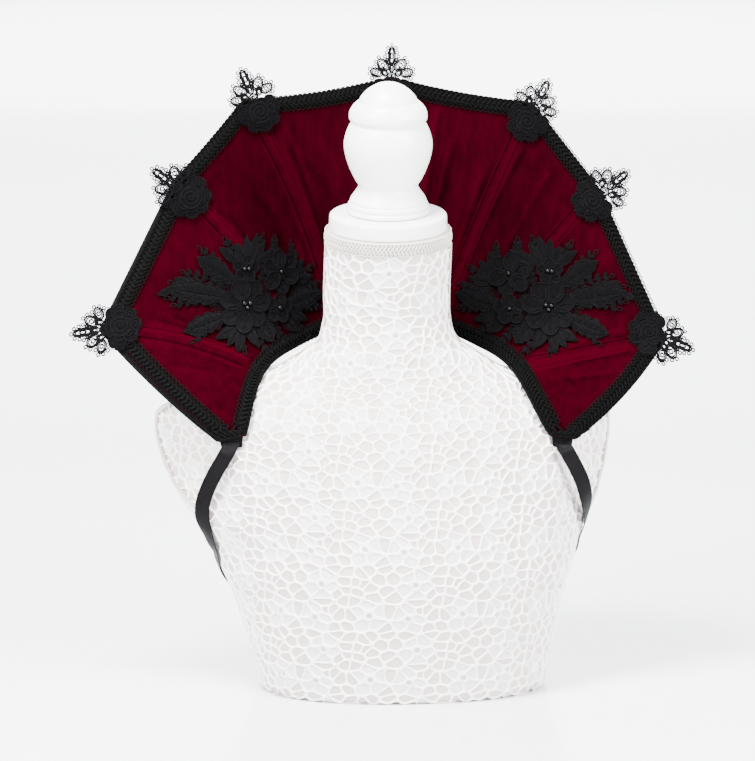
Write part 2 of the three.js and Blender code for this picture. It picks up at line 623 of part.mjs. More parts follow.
function applique(middle, mirror, squeeze, tilt) {
  const place = ([x, y]) => {
    const q = new THREE.Vector2(x < 0 ? x * squeeze : x, y).rotateAround(new THREE.Vector2(), tilt);
    return [middle[0] + mirror * q.x, middle[1] + q.y];
  };
  const shapes = [];
  const petals = [];
  for (const { base, tip, width, lobes } of LEAVES) shapes.push(leaf(place(base), place(tip), width, lobes));
  for (const { at, ring, petal, count } of FLOWERS) {
    const [x, y] = place(at);
    for (let i = 0; i < count; i += 1) {
      const a = (2 * Math.PI * (i + 0.3)) / count;
      const [px, py] = [x + ring * squeeze * Math.cos(a), y + ring * Math.sin(a)];
      shapes.push(oval(px, py, petal, petal * 0.85, a, 8));
      petals.push(oval(px, py, petal * 0.8, petal * 0.7, a, 6));
    }
  }
  for (const { at, radius } of JOINS) shapes.push(oval(...place(at), radius, radius, 0, 8));
  const whole = CrossSection.union(shapes);
  const closed = whole.offset(GAP_CLOSED, 'Miter').offset(-GAP_CLOSED, 'Miter').simplify(0.8);
  const raisedPetals = CrossSection.union(petals).simplify(0.8);
  const flat = closed.extrude(LACE_THICK).add(raisedPetals.extrude(LACE_THICK + FLOWER_RISE));
  return drape(flat, APPLIQUE_LIFT, 26);
}

addPiece('applique_left', applique([-126, 352.5], -1, 0.8, rad(2)), laceBlack);
addPiece('applique_right', applique([145.8, 348], 1, 1, 0), laceBlack);

// Satin ribbons: each is sewn behind a front corner, hangs in front of the
// armhole plate, and goes round the side of the form to a flat knot behind.
// free: points of the hanging stretch and the way its face looks in plan, wrap:
// height and bearing of points where it lies on the form.
const RIBBON_ROUTES = [
  {
    name: 'left',
    sewn: [0.12, 0],
    free: [
      { p: [-143.5, -84, 217], face: [-0.05, -1] },
      { p: [-151, -80, 204], face: [-0.1, -1] },
      { p: [-158, -74, 190], face: [-0.15, -1] },
      { p: [-162.5, -66, 175], face: [-0.3, -1] },
      { p: [-164, -58, 162], face: [-0.5, -0.9] },
      { p: [-163.5, -49, 149], face: [-0.7, -0.7] },
      { p: [-162.5, -38, 137], face: [-0.85, -0.5] },
    ],
    wrap: [[123, 190], [112, 181], [102, 172], [94, 161], [88, 148], [84, 134], [82, 120], [81, 106], [80, 92.25]],
  },
  {
    name: 'right',
    sewn: [7.88, 8],
    free: [
      { p: [161, -50, 216], face: [0.05, -1] },
      { p: [168, -43, 203], face: [0.15, -1] },
      { p: [174.5, -34, 189], face: [0.35, -0.94] },
      { p: [178.5, -24, 175], face: [0.6, -0.8] },
      { p: [180, -13, 162], face: [0.85, -0.5] },
      { p: [180, -3, 149], face: [0.95, -0.3] },
    ],
    wrap: [[135, -1], [123, 3], [112, 9], [102, 17], [94, 28], [88, 40], [84, 53], [81, 67], [80, 87.75]],
  },
];
const RIBBON_STATIONS = 36;
const OFF_FORM = SEAM_GAP + RIBBON_THICK / 2 + 0.3;

// A point off the form's side or back, with the form's own outward direction.
function besideForm(z, degrees, off) {
  const at = (dz, turn) => sectionPoint(sectionAt(z + dz), rad(degrees + turn));
  const face = at(0, 1).sub(at(0, -1)).cross(at(2, 0).sub(at(-2, 0))).normalize();
  return { p: at(0, 0).addScaledVector(face, off), face };
}

// How far out a ribbon's section must move so that none of it is inside the form.
function clearOfForm(p, across, face) {
  const q = V(0, 0, 0);
  let out = 0;
  const inside = (share) => insideForm(q.copy(p).addScaledVector(across, share).addScaledVector(face, out - OFF_FORM));
  while (out < 20 && [-1, -0.5, 0, 0.5, 1].some(inside)) out += 0.25;
  return face.clone().multiplyScalar(out);
}

function strip(stations, count) {
  const route = new THREE.CatmullRomCurve3(stations.map((s) => s.p), false, 'centripetal');
  const faces = new THREE.CatmullRomCurve3(stations.map((s) => s.face), false, 'centripetal');
  const rings = [];
  for (let i = 0; i <= count; i += 1) {
    const t = i / count;
    const p = route.getPoint(t);
    const ahead = route.getTangent(t);
    const face = faces.getPoint(t).normalize();
    const across = ahead.clone().cross(face).setLength(RIBBON_WIDTH / 2);
    const up = across.clone().cross(ahead).setLength(RIBBON_THICK / 2);
    p.add(clearOfForm(p, across, face));
    const corner = (a, b) => p.clone().addScaledVector(across, a).addScaledVector(up, b);
    rings.push([corner(-1, 1), corner(1, 1), corner(1, -1), corner(-1, -1)]);
  }
  return loft(rings);
}

const BEHIND_SHELL = shellFront - SHELL_WALL - 4 * SEAM_GAP - RIBBON_THICK / 2;
for (const route of RIBBON_ROUTES) {
  const sewn = route.sewn.map((u) => ({ p: raised(u, 0.5, BEHIND_SHELL), face: faceNormal(u, 0.5) }));
  const free = route.free.map(({ p, face }) => ({ p: V(...p), face: V(face[0], face[1], 0).normalize() }));
  const wrap = route.wrap.map(([z, degrees]) => besideForm(z, degrees, OFF_FORM));
  addPiece(`ribbon_${route.name}`, strip([...sewn, ...free, ...wrap], RIBBON_STATIONS), satinBlack);
}

// The knot behind, with its two short ends hanging.
const KNOT = { long: 8.5, high: 7.5, deep: 4.5, z: 80 };
const KNOT_SWELL = [[-1, 0.5], [-0.75, 0.85], [-0.3, 1], [0.3, 1], [0.75, 0.85], [1, 0.5]];
const KNOT_SIDES = 12;
const knotSeat = besideForm(KNOT.z, 90, KNOT.deep + 0.25);
const knotAxis = V(0, 0, 1).cross(knotSeat.face).normalize();
const knotUp = knotSeat.face.clone().cross(knotAxis);
const knotRings = KNOT_SWELL.map(([share, size]) => Array.from({ length: KNOT_SIDES }, (_, j) => {
  const a = (2 * Math.PI * (j + 0.5)) / KNOT_SIDES;
  const p = knotSeat.p.clone().addScaledVector(knotAxis, share * KNOT.long);
  p.addScaledVector(knotSeat.face, KNOT.deep * size * Math.cos(a));
  return p.addScaledVector(knotUp, -KNOT.high * size * Math.sin(a));
}));
addPiece('ribbon_knot', loft(knotRings), satinBlack);

const END_HEIGHTS = [[72.3, 1.6], [60, 2.4], [48, 3.2], [36, 3]];
for (const side of [-1, 1]) {
  const end = END_HEIGHTS.map(([z, off], i) => besideForm(z, 90 - side * (1.75 + 0.5 * i), off));
  addPiece(side < 0 ? 'ribbon_end_left' : 'ribbon_end_right', strip(end, 8), satinBlack);
}

export default collar;
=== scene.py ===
import math

import bpy
import numpy as np
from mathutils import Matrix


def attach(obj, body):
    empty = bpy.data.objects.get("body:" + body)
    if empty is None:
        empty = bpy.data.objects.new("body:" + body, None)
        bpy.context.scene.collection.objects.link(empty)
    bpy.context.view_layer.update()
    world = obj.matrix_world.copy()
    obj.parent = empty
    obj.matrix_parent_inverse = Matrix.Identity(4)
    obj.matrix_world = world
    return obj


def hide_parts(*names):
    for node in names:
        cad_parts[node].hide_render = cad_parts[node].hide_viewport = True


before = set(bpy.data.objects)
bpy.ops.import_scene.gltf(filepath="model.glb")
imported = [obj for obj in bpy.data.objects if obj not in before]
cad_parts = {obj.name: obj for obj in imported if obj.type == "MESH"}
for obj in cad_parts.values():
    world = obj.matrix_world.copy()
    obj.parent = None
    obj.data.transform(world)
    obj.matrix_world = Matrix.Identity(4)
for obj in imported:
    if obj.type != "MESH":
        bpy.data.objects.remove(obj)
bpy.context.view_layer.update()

# The photograph's view: a long lens a little above the collar, looking slightly
# down, over a pale glossy table that runs into a pale wall.
camera_data = bpy.data.cameras.new("studio_camera")
camera_data.lens = 152.4
camera_data.sensor_width = 36
camera = bpy.data.objects.new("studio_camera", camera_data)
camera.location = (-0.009, -2.9, 0.57)
camera.rotation_euler = (math.radians(90 - 5.79), 0, 0)
bpy.context.collection.objects.link(camera)
bpy.context.scene.camera = camera



def new_finish(name):
    """Starts a material: gives it, a way to add a node and a way to feed its shader."""
    finish = bpy.data.materials.new(name)
    finish.use_nodes = True
    tree = finish.node_tree

    def feed(node, inputs):
        for socket, value in inputs.items():
            if isinstance(value, bpy.types.NodeSocket):
                tree.links.new(value, node.inputs[socket])
            else:
                node.inputs[socket].default_value = value

    def add(kind, output, inputs, **settings):
        node = tree.nodes.new("ShaderNode" + kind)
        for setting, value in settings.items():
            setattr(node, setting, value)
        feed(node, inputs)
        return node.outputs[output]

    return finish, add, lambda inputs: feed(tree.nodes["Principled BSDF"], inputs)


table_finish, _, shade = new_finish("table_finish")
shade({"Base Color": (0.74, 0.75, 0.77, 1), "Roughness": 0.13, "Specular IOR Level": 0.5})
half_room = 4.6
sweep = []
for y, z in [(-half_room, 0), (2.5, 0), (3.2, 0.08), (3.7, 0.36), (3.95, 0.85), (4.0, half_room)]:
    sweep += [(-half_room, y, z), (half_room, y, z)]
sweep_mesh = bpy.data.meshes.new("studio_sweep")
sweep_mesh.from_pydata(sweep, [], [(i, i + 1, i + 3, i + 2) for i in range(0, 10, 2)])
sweep_mesh.materials.append(table_finish)
sweep_mesh.shade_smooth()
studio_sweep = bpy.data.objects.new("studio_sweep", sweep_mesh)
bpy.context.collection.objects.link(studio_sweep)

world = bpy.data.worlds.new("studio_air")
world.use_nodes = True
world.node_tree.nodes["Background"].inputs["Color"].default_value = (0.95, 0.97, 1.0, 1)
world.node_tree.nodes["Background"].inputs["Strength"].default_value = 1.8
bpy.context.scene.world = world


def softbox(name, place, aim, size, watts):
    data = bpy.data.lights.new(name, "AREA")
    data.shape = "RECTANGLE"
    data.size, data.size_y = size
    data.energy = watts
    lamp = bpy.data.objects.new(name, data)
    lamp.location = place
    way = np.array(aim) - np.array(place)
    lamp.rotation_euler = (
        math.acos(-way[2] / np.linalg.norm(way)),
        0,
        math.atan2(way[1], way[0]) - math.pi / 2,
    )
    bpy.context.collection.objects.link(lamp)


softbox("softbox_left", (-1.7, -2.0, 1.9), (0, 0, 0.3), (1.1, 1.1), 330)
softbox("softbox_right", (1.9, -1.8, 1.4), (0, 0, 0.3), (1.0, 1.1), 250)
softbox("softbox_top", (-0.5, -0.75, 2.3), (0, 0, 0.3), (0.7, 0.5), 230)
softbox("wall_light", (0, 2.6, 3.0), (0, 4.0, 0.8), (4.0, 1.0), 520)

# The dress form: a light moulded body without limbs, cut flat below and at both
# armholes, covered in smooth white lining that shows through the lace over it. The
# lining is coloured a dark warm grey: painted shade for the hollows of the lace's meshes.
# A row a level: height, half width, offset right, front, widest line, back,
# squareness of the front curve. Millimetres, as cut.
body_levels = np.array([
    (0, 123, 12, -104, -12, 69, 2.2), (3, 127.5, 12, -109, -12, 73, 2.2),
    (14, 131, 12, -112, -12, 76, 2.2), (42, 138, 10.5, -117, -11, 78, 2.15),
    (74, 145.5, 10, -122, -10, 80, 2.05), (94, 152, 9, -124, -9, 81, 1.95),
    (113, 160, 8, -124, -8, 82, 1.9), (134, 166, 7, -122, -5, 84, 1.8),
    (154, 178, 4, -118, -2, 86, 1.75), (173, 189, 3, -113, 3, 87, 1.7),
    (207, 204, 1, -103, 8, 88, 1.7), (236, 210, 0, -93, 12, 86, 1.7),
    (249, 206, 0, -85, 16, 84, 1.7), (258, 190, 0, -80, 17, 81, 1.7),
    (265, 170, 0, -75, 17, 78, 1.7), (273, 145, 0, -71, 15, 75, 1.75),
    (281, 120, 0, -67.5, 12, 71, 1.8), (288, 101, 0, -65, 9, 67, 1.85),
    (294, 91, 0, -63, 6, 64, 1.9), (301, 80, 0, -62, 3, 61, 2),
    (308, 69, 0, -59, 1, 58, 2), (315, 60.5, 0, -57, 0, 56, 2),
    (324, 57, -1, -55.5, -1, 53.5, 2), (335, 55, -1, -54.5, -1, 52.5, 2),
])
# Round levels of the neck: height, x, y, tilt towards the front.
neck_levels = [(355, -0.8, -1.5, 4), (375, -0.3, -4.8, 8), (395, 0.5, -8.3, 11), (414, 0.5, -12, 11)]
neck_radius = 54.5
form_turn = math.radians(7)
plate_reach = 158


def unit(vectors):
    return vectors / np.linalg.norm(vectors, axis=-1, keepdims=True)


def run_along(paths):
    """Length walked from a path's first point to each of its points."""
    steps = np.linalg.norm(np.diff(paths, axis=-2), axis=-1)
    return np.concatenate([0 * steps[..., :1], np.cumsum(steps, axis=-1)], axis=-1)


def point_at(s, run, table):
    """What a table of points holds after a run of s."""
    return np.stack([np.interp(s, run, column) for column in table.T], -1)


def spun(x, y, angle):
    c, s = math.cos(angle), math.sin(angle)
    return x * c - y * s, x * s + y * c


def turned(points, angle):
    return np.stack([*spun(points[..., 0], points[..., 1], angle), points[..., 2]], -1)


def stepped(x, y, reach, angle):
    """A place a little way off another, at an angle."""
    return x + reach * math.cos(angle), y + reach * math.sin(angle)


def level_outline(level, angles):
    z, half, side, front, mid, back, square = level
    c, s = np.cos(angles), np.sin(angles)
    power = np.where(s < 0, square, 2.3)
    depth = np.where(s < 0, mid - front, back - mid)
    x = side + half * np.sign(c) * np.abs(c) ** (2 / power)
    y = mid + depth * np.sign(s) * np.abs(s) ** (2 / power)
    return np.stack([x, y, np.full_like(x, z)], -1)


def eased_rise(heights, values, wanted):
    """Carries values smoothly from level to level without overshooting."""
    step = np.diff(heights)
    slope = np.diff(values, axis=0) / step[:, None, None]
    lean = np.zeros_like(values)
    both = slope[:-1] * slope[1:] > 0
    mean = 2 * slope[:-1] * slope[1:] / np.where(both, slope[:-1] + slope[1:], 1)
    lean[1:-1] = np.where(both, mean, 0)
    lean[0], lean[-1] = slope[0], slope[-1]
    k = np.clip(np.searchsorted(heights, wanted) - 1, 0, len(step) - 1)
    h = step[k][:, None, None]
    t = (wanted - heights[k])[:, None, None] / h
    return (
        (2 * t**3 - 3 * t**2 + 1) * values[k] + (t**3 - 2 * t**2 + t) * h * lean[k]
        + (3 * t**2 - 2 * t**3) * values[k + 1] + (t**3 - t**2) * h * lean[k + 1]
    )


round_steps = 720
front_column = round_steps // 2
body_angles = np.linspace(-math.pi * 1.5, math.pi * 0.5, round_steps + 1)
rings = [level_outline(level, body_angles) for level in body_levels]
for z, x, y, tilt in neck_levels:
    t = math.radians(tilt)
    away = neck_radius * np.sin(body_angles)
    ring = np.stack([neck_radius * np.cos(body_angles), away * math.cos(t), away * math.sin(t)], -1)
    rings.append(turned(ring + (x, y, z), -form_turn))
level_heights = np.append(body_levels[:, 0], [row[0] for row in neck_levels])
body_heights = np.unique(np.append(np.linspace(0, level_heights[-1], 260), level_heights))
body_skin = eased_rise(level_heights, np.array(rings), body_heights)
plate_way = unit(np.array([0.8, -0.6, 0.03]))
core = np.stack([0 * body_heights, 10 + 0 * body_heights, body_heights], -1)[:, None]
for side in (-1, 1):
    way = plate_way * (side, 1, 1)
    outward = (body_skin - core) @ way
    room = plate_reach - core @ way
    cut = np.where(outward > room, room / np.maximum(outward, 1e-6), 1)
    flat = core + (body_skin - core) * cut[..., None]
    flat[..., 2] = body_skin[..., 2]
    body_skin = np.where((outward > room)[..., None], flat, body_skin)
body_skin = turned(body_skin, form_turn)
girth = run_along(body_skin)
girth -= girth[:, front_column:front_column + 1]
climb = run_along(body_skin.swapaxes(0, 1)).T
# Each level takes the cloth evenly: the front's own length with a little of the sides'.
cloth_climb = 0.8 * climb[:, front_column] + 0.2 * climb.mean(axis=1)
body_facing = np.cross(np.gradient(body_skin, axis=1), np.gradient(body_skin, axis=0))
body_facing /= np.linalg.norm(body_facing, axis=2, keepdims=True) + 1e-9


def sampled(table, row, column):
    """Reads a table between its rows and columns."""
    row = np.clip(row, 0, table.shape[0] - 1.001)
    column = np.clip(column, 0, table.shape[1] - 1.001)
    r, c = row.astype(int), column.astype(int)
    fr, fc = row - r, column - c
    if table.ndim == 3:
        fr, fc = fr[..., None], fc[..., None]
    low = table[r, c] * (1 - fc) + table[r, c + 1] * fc
    high = table[r + 1, c] * (1 - fc) + table[r + 1, c + 1] * fc
    return low * (1 - fr) + high * fr


def wrap_on_form(across, up):
    """Finds where cloth laid on the form ends up: across from the front, up from the table."""
    row = np.interp(up, cloth_climb, np.arange(len(cloth_climb)))
    low, high = 0 * across, 0 * across + round_steps - 0.1
    for _ in range(22):
        middle = (low + high) / 2
        under = sampled(girth, row, middle) < across
        low, high = np.where(under, middle, low), np.where(under, high, middle)
    return row, (low + high) / 2


def on_form(row, column, lift):
    lift = np.asarray(lift, float)
    return sampled(body_skin, row, column) + sampled(body_facing, row, column) * lift[..., None]


def make_piece(name, points, faces, finish, slot, nodes=()):
    """A finished piece from points in millimetres, standing for its CAD nodes."""
    mesh = bpy.data.meshes.new(name)
    mesh.from_pydata((np.asarray(points) / 1000).tolist(), [], [tuple(f) for f in faces])
    mesh.shade_smooth()
    mesh.materials.append(finish)
    piece = bpy.data.objects.new(name, mesh)
    bpy.context.collection.objects.link(piece)
    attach(piece, "root")
    if nodes:
        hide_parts(*nodes)
    return piece


def net_faces(rows, columns, closed=False, start=0):
    """Faces of a net of points, row by row."""
    last = columns if closed else columns - 1
    r, c = np.meshgrid(np.arange(rows - 1), np.arange(last), indexing="ij")
    a = r * columns + c
    b = r * columns + (c + 1) % columns
    return start + np.stack([a, b, b + columns, a + columns], -1).reshape(-1, 4)


def cloth_finish(name, colour, roughness, sheen, sheen_colour, weave, depth, blotch, also={}):
    """Matt cloth: a fine weave in relief and a slow change of tone over it."""
    finish, add, shade = new_finish(name)
    place = add("TexCoord", "Object", {})
    slow = add("TexNoise", "Fac", {"Vector": place, "Scale": 14, "Detail": 3})
    tone = add("MapRange", "Result", {
        "Value": slow, "From Min": 0.3, "From Max": 0.7, "To Min": 1 - blotch, "To Max": 1 + blotch,
    })
    dye = add("VectorMath", "Vector", {0: colour, "Scale": tone}, operation="SCALE")
    thread = add("TexNoise", "Fac", {"Vector": place, "Scale": weave, "Detail": 2})
    relief = add("Bump", "Normal", {"Strength": 0.6, "Distance": depth, "Height": thread})
    shade({
        "Base Color": dye, "Normal": relief, "Roughness": roughness, "Sheen Weight": sheen,
        "Sheen Roughness": 0.45, "Sheen Tint": (*sheen_colour, 1), **also,
    })
    return finish


# The white lining coloured a dark warm grey, as painted shade in the lace's open meshes.
form_lining_painted_shade = cloth_finish("form_lining_painted_shade", (0.5, 0.435, 0.415), 0.85, 0.1, (1, 0.97, 0.96), 900, 0.0003, 0.03)
columns = np.linspace(0, round_steps, 145)[:-1]
rows = np.linspace(0, len(body_heights) - 1, 110)
grid_row, grid_column = np.meshgrid(rows, columns, indexing="ij")
body_points = on_form(grid_row, grid_column, 0 * grid_row).reshape(-1, 3)
body_faces = [tuple(f) for f in net_faces(len(rows), len(columns), closed=True)]
low_rim = list(range(len(columns)))
high_rim = [i + (len(rows) - 1) * len(columns) for i in low_rim]
body_faces += [tuple(reversed(low_rim)), tuple(high_rim)]
make_piece("form_body", body_points, body_faces, form_lining_painted_shade, "form_lace", ["form_torso"])

# White guipure lace over the whole form: one printed width repeated, with three
# flowers of five petals round sewn rings, in a net of uneven meshes.
# Sizes in millimetres: the repeat, the flowers (place, reach, turn), the threads.
repeat_width, repeat_height = 83.0, 59.0
lace_flowers = [((18, 15), 9.8, 0.35), ((60, 42), 9.0, 1.0), ((52, 12), 7.6, 0.1)]
flower_room = 5.6
net_seeds = 7
mesh_squash = 0.78
thread_half = 0.95
thread_rise = 1.6
mesh_points = 16
lace_top = 402.5


def lace_seeds():
    """The middle of each mesh of the repeat, with its kind: net, petal or ring."""
    chance = np.random.default_rng(11)
    seeds = []
    for (x, y), reach, turn in lace_flowers:
        seeds.append((x, y, "ring"))
        for i in range(5):
            seeds.append((*stepped(x, y, reach, turn + i * 2 * math.pi / 5), "petal"))
    for j in range(net_seeds):
        for i in range(net_seeds):
            x = (i + 0.5 * (j % 2) + chance.uniform(-0.42, 0.42)) * repeat_width / net_seeds
            y = (j + 0.5 + chance.uniform(-0.4, 0.4)) * repeat_height / net_seeds
            clear = True
            for (fx, fy), reach, _ in lace_flowers:
                dx = (x - fx + repeat_width / 2) % repeat_width - repeat_width / 2
                dy = (y - fy + repeat_height / 2) % repeat_height - repeat_height / 2
                clear = clear and math.hypot(dx, dy) > reach + flower_room
            if clear:
                seeds.append((x, y, "net"))
    return seeds


def cut_back(shape, side):
    """What is left of an outline on the near side of a line."""
    kept = []
    for k in range(len(shape)):
        n = (k + 1) % len(shape)
        if side[k] <= 0:
            kept.append(shape[k])
        if (side[k] <= 0) != (side[n] <= 0):
            t = side[k] / (side[k] - side[n])
            kept.append(tuple(np.array(shape[k]) * (1 - t) + np.array(shape[n]) * t))
    return kept


def lace_meshes():
    """Each mesh as an outline: all that lies nearer to its own seed than to another."""
    seeds, ways = lace_seeds(), (-1, 0, 1)
    around = [(x + i * repeat_width, y + j * repeat_height) for x, y, _ in seeds for i in ways for j in ways]
    meshes = []
    for x, y, kind in seeds:
        shape = [(x - 30, y - 30), (x + 30, y - 30), (x + 30, y + 30), (x - 30, y + 30)]
        for qx, qy in around:
            dx, dy = (qx - x) * mesh_squash, qy - y
            if 1e-6 < math.hypot(dx, dy) < 40:
                mx, my = (qx + x) / 2, (qy + y) / 2
                shape = cut_back(shape, [(px - mx) * dx * mesh_squash + (py - my) * dy for px, py in shape])
        meshes.append((np.array(shape), kind))
    return meshes


def walked(outline, count):
    """Points evenly round an outline, with its corners kept."""
    closed = np.vstack([outline, outline[:1]])
    run = run_along(closed)
    at = np.linspace(0, run[-1], count, endpoint=False)
    for corner in run[:-1]:
        at[np.argmin(np.abs(at - corner))] = corner
    return point_at(np.sort(at), run, closed)


def repeat_of_lace():
    """The repeat in flat points (across, up, rise), faces, and which are filled petals."""
    points, faces, filled = [], [], []
    for outline, kind in lace_meshes():
        edge = walked(outline, mesh_points)
        middle = edge.mean(0)
        inward = unit(middle - edge)
        hole = edge + inward * thread_half
        for _ in range(2):
            hole = (np.roll(hole, 1, 0) + 2 * hole + np.roll(hole, -1, 0)) / 4
        shoulder = edge + (hole - edge) * 0.6
        if kind == "ring":
            shoulder, hole = middle - 3.5 * inward, middle - 2.4 * inward
        rise = {"net": (1, 0.9, 0), "petal": (1.15, 1.05, 0.22), "ring": (0.7, 1.5, 0)}[kind]
        start = len(points)
        for ring, share in zip((edge, shoulder, hole), rise):
            points += [(x, y, share * thread_rise) for x, y in ring]
        faces += net_faces(3, mesh_points, closed=True, start=start).tolist()
        filled += [0] * (2 * mesh_points)
        if kind == "petal":
            inner = start + 2 * mesh_points
            points += [(*(hole[i] * 0.5 + middle * 0.5), 0.4 * thread_rise) for i in range(mesh_points)]
            points.append((*middle, 0.3 * thread_rise))
            top = inner + mesh_points
            for i in range(mesh_points):
                n = (i + 1) % mesh_points
                faces.append([inner + i, inner + n, top + n, top + i])
                faces.append([top + i, top + n, top + mesh_points, top + mesh_points])
                filled += [1, 1]
    return np.array(points), faces, np.array(filled)


flat_points, flat_faces, flat_filled = repeat_of_lace()
lace_points, lace_faces, lace_filled = [], [], []
for i in range(-7, 7):
    for j in range(-1, 12):
        lace_faces.append(np.array(flat_faces) + len(lace_points) * len(flat_points))
        lace_points.append(flat_points + ((i + 0.29) * repeat_width, (j + 0.2) * repeat_height, 0))
        lace_filled.append(flat_filled)
lace_points, lace_faces = np.vstack(lace_points), np.vstack(lace_faces)
lace_filled = np.concatenate(lace_filled)
row, column = wrap_on_form(lace_points[:, 0], lace_points[:, 1])
reached = np.abs(sampled(girth, row, column) - lace_points[:, 0]) < 1.5
reached &= (lace_points[:, 1] > -0.5) & (lace_points[:, 1] < cloth_climb[-1])
reached &= row < np.searchsorted(body_heights, lace_top)
sound = reached[lace_faces].all(axis=1)
lace_faces, lace_filled = lace_faces[sound], lace_filled[sound]
laid_lace = on_form(row, column, lace_points[:, 2])
laid_lace[:, 2] = np.maximum(laid_lace[:, 2], 0.1)


def thread_finish(name, colour, roughness, twist, depth, sheen, also={}):
    """Twisted sewing thread: fine slanting ribs along each cord."""
    finish, add, shade = new_finish(name)
    place = add("TexCoord", "Object", {})
    twisted = {"Vector": place, "Scale": twist, "Distortion": 4, "Detail": 1}
    ribs = add("TexWave", "Fac", twisted, bands_direction="DIAGONAL")
    fluff = add("TexNoise", "Fac", {"Vector": place, "Scale": 420})
    both = add("Math", "Value", {0: ribs, 1: 0.6, 2: fluff}, operation="MULTIPLY_ADD")
    relief = add("Bump", "Normal", {"Strength": 0.7, "Distance": depth, "Height": both})
    # Painted shade: the colour darkens to 0.82 of itself where the ribs and fluff sink.
    groove_painted_shade = (*[c * 0.82 for c in colour], 1)
    tone = add("Mix", "Result", {"Factor": both, "A": groove_painted_shade, "B": (*colour, 1)}, data_type="RGBA")
    shade({
        "Base Color": tone, "Normal": relief, "Roughness": roughness, "Sheen Weight": sheen,
        "Sheen Roughness": 0.4, **also,
    })
    return finish


white_thread = thread_finish("white_thread", (0.93, 0.886, 0.866), 0.75, 260, 0.0003, 0.2)
petal_filling = thread_finish("petal_filling", (0.76, 0.715, 0.70), 0.85, 430, 0.0009, 0.1)
front_half = np.abs(lace_points[lace_faces[:, 0], 0]) < 250
for name, chosen in (("form_lace_front", front_half), ("form_lace_back", ~front_half)):
    used, renamed = np.unique(lace_faces[chosen], return_inverse=True)
    quads = [tuple(dict.fromkeys(f)) for f in renamed.reshape(-1, 4).tolist()]
    lace = make_piece(name, laid_lace[used], quads, white_thread, "form_lace")
    lace.data.materials.append(petal_filling)
    lace.data.polygons.foreach_set("material_index", lace_filled[chosen].astype(np.int32))

# White braid trims on the form: a plaited band with two rows of tiny loops round
# the top of the neck, and a twisted cord over each shoulder seam and behind each
# armhole, all gummed over the cut edges of the lace.


def full_turn(count):
    return np.arange(count) * 2 * math.pi / count


def corded(path, up, radius, sides=5, closed=False):
    """A round cord along a path: its points and its faces."""
    path = np.asarray(path, float)
    ahead = np.roll(path, -1, 0) - np.roll(path, 1, 0) if closed else np.gradient(path, axis=0)
    across = np.cross(ahead, np.broadcast_to(up, path.shape))
    across /= np.linalg.norm(across, axis=1, keepdims=True) + 1e-9
    lift = np.cross(across, ahead)
    lift /= np.linalg.norm(lift, axis=1, keepdims=True) + 1e-9
    a = full_turn(sides)[:, None]
    size = np.broadcast_to(radius, len(path))[:, None, None]
    points = (path[:, None] + size * (across[:, None] * np.cos(a) - lift[:, None] * np.sin(a))).reshape(-1, 3)
    faces = net_faces(len(path), sides, closed=True).tolist()
    last = (len(path) - 1) * sides
    if closed:
        faces += [[last + k, last + (k + 1) % sides, (k + 1) % sides, k] for k in range(sides)]
    else:
        faces += [list(range(sides))[::-1], list(range(last, last + sides))]
    return points, faces


def bundled(parts):
    """Several small parts as one piece of mesh."""
    points, faces, start = [], [], 0
    for part_points, part_faces in parts:
        points.append(part_points)
        faces += [[start + k for k in f] for f in part_faces]
        start += len(part_points)
    return np.vstack(points), faces


neck_top = np.array([0.5, -12, 414])
neck_lean = math.radians(11)


def on_neck(angle, radius, height):
    """A point round the leaning top of the neck, turning from the front."""
    x, y = radius * np.sin(angle), -radius * np.cos(angle)
    c, s = math.cos(neck_lean), math.sin(neck_lean)
    return neck_top + np.stack([x, y * c - height * s, y * s + height * c], -1)


def plait_stitch(seat, s, aside, length, slant, radius, rise):
    """One slanting strand of a plait, thickest in its middle."""
    t = np.linspace(-0.5, 0.5, 5)
    swell = np.sqrt(np.clip(1 - (1.85 * t) ** 2, 0.03, 1))
    run, off = s + t * length * math.cos(slant), aside + t * length * math.sin(slant)
    path, up = seat(run, off, rise + 0.25 * radius * swell)
    return corded(path, up, radius * swell)


def loop_stitch(seat, s, aside, long, wide, radius, rise, count=10):
    """One closed loop of cord lying flat."""
    a = full_turn(count)
    path, up = seat(s + wide * np.cos(a), aside + long * np.sin(a), rise + 0 * a)
    return corded(path, up, radius, closed=True)


def plaited(seat, starts, loops, strands):
    """Loops and strands repeated along a seat; each row begins with its step ahead."""
    parts = []
    for s in starts:
        parts += [loop_stitch(seat, s + ahead, *rest) for ahead, *rest in loops]
        parts += [plait_stitch(seat, s + ahead, *rest) for ahead, *rest in strands]
    return bundled(parts)


trim_thread = thread_finish("trim_thread", (0.6, 0.54, 0.51), 0.8, 300, 0.0003, 0.1)
trim_tape = cloth_finish("trim_tape", (0.34, 0.295, 0.275), 0.9, 0.0, (1, 1, 1), 900, 0.0003, 0.05)
trim_radius = 56.0


def neck_seat(s, aside, lift):
    angle = s / trim_radius
    return on_neck(angle, 54.9 + lift, aside), on_neck(angle, 60, aside) - on_neck(angle, 50, aside)


trim = plaited(
    neck_seat, full_turn(98) * trim_radius,
    [(0, -2.1, 1.7, 1.4, 0.6, 1.5), (0.9, -10.6, 1.6, 1.4, 0.55, 1.4)],
    [(0, -5.2, 4.6, 0.75, 0.95, 1.6), (1.8, -7.6, 4.6, -0.75, 0.95, 1.6)],
)
make_piece("neck_trim_braid", *trim, trim_thread, "form_lace", ["neck_trim"])
tape_cut = [(54.75, -11), (55.6, -11), (55.9, -6), (55.7, -1), (54.75, -1)]
tape = np.vstack([on_neck(full_turn(120), radius, height) for radius, height in tape_cut])
tape_faces = net_faces(len(tape_cut), 120, closed=True)[:, ::-1]
make_piece("neck_trim_tape", tape, tape_faces, trim_tape, "form_lace")


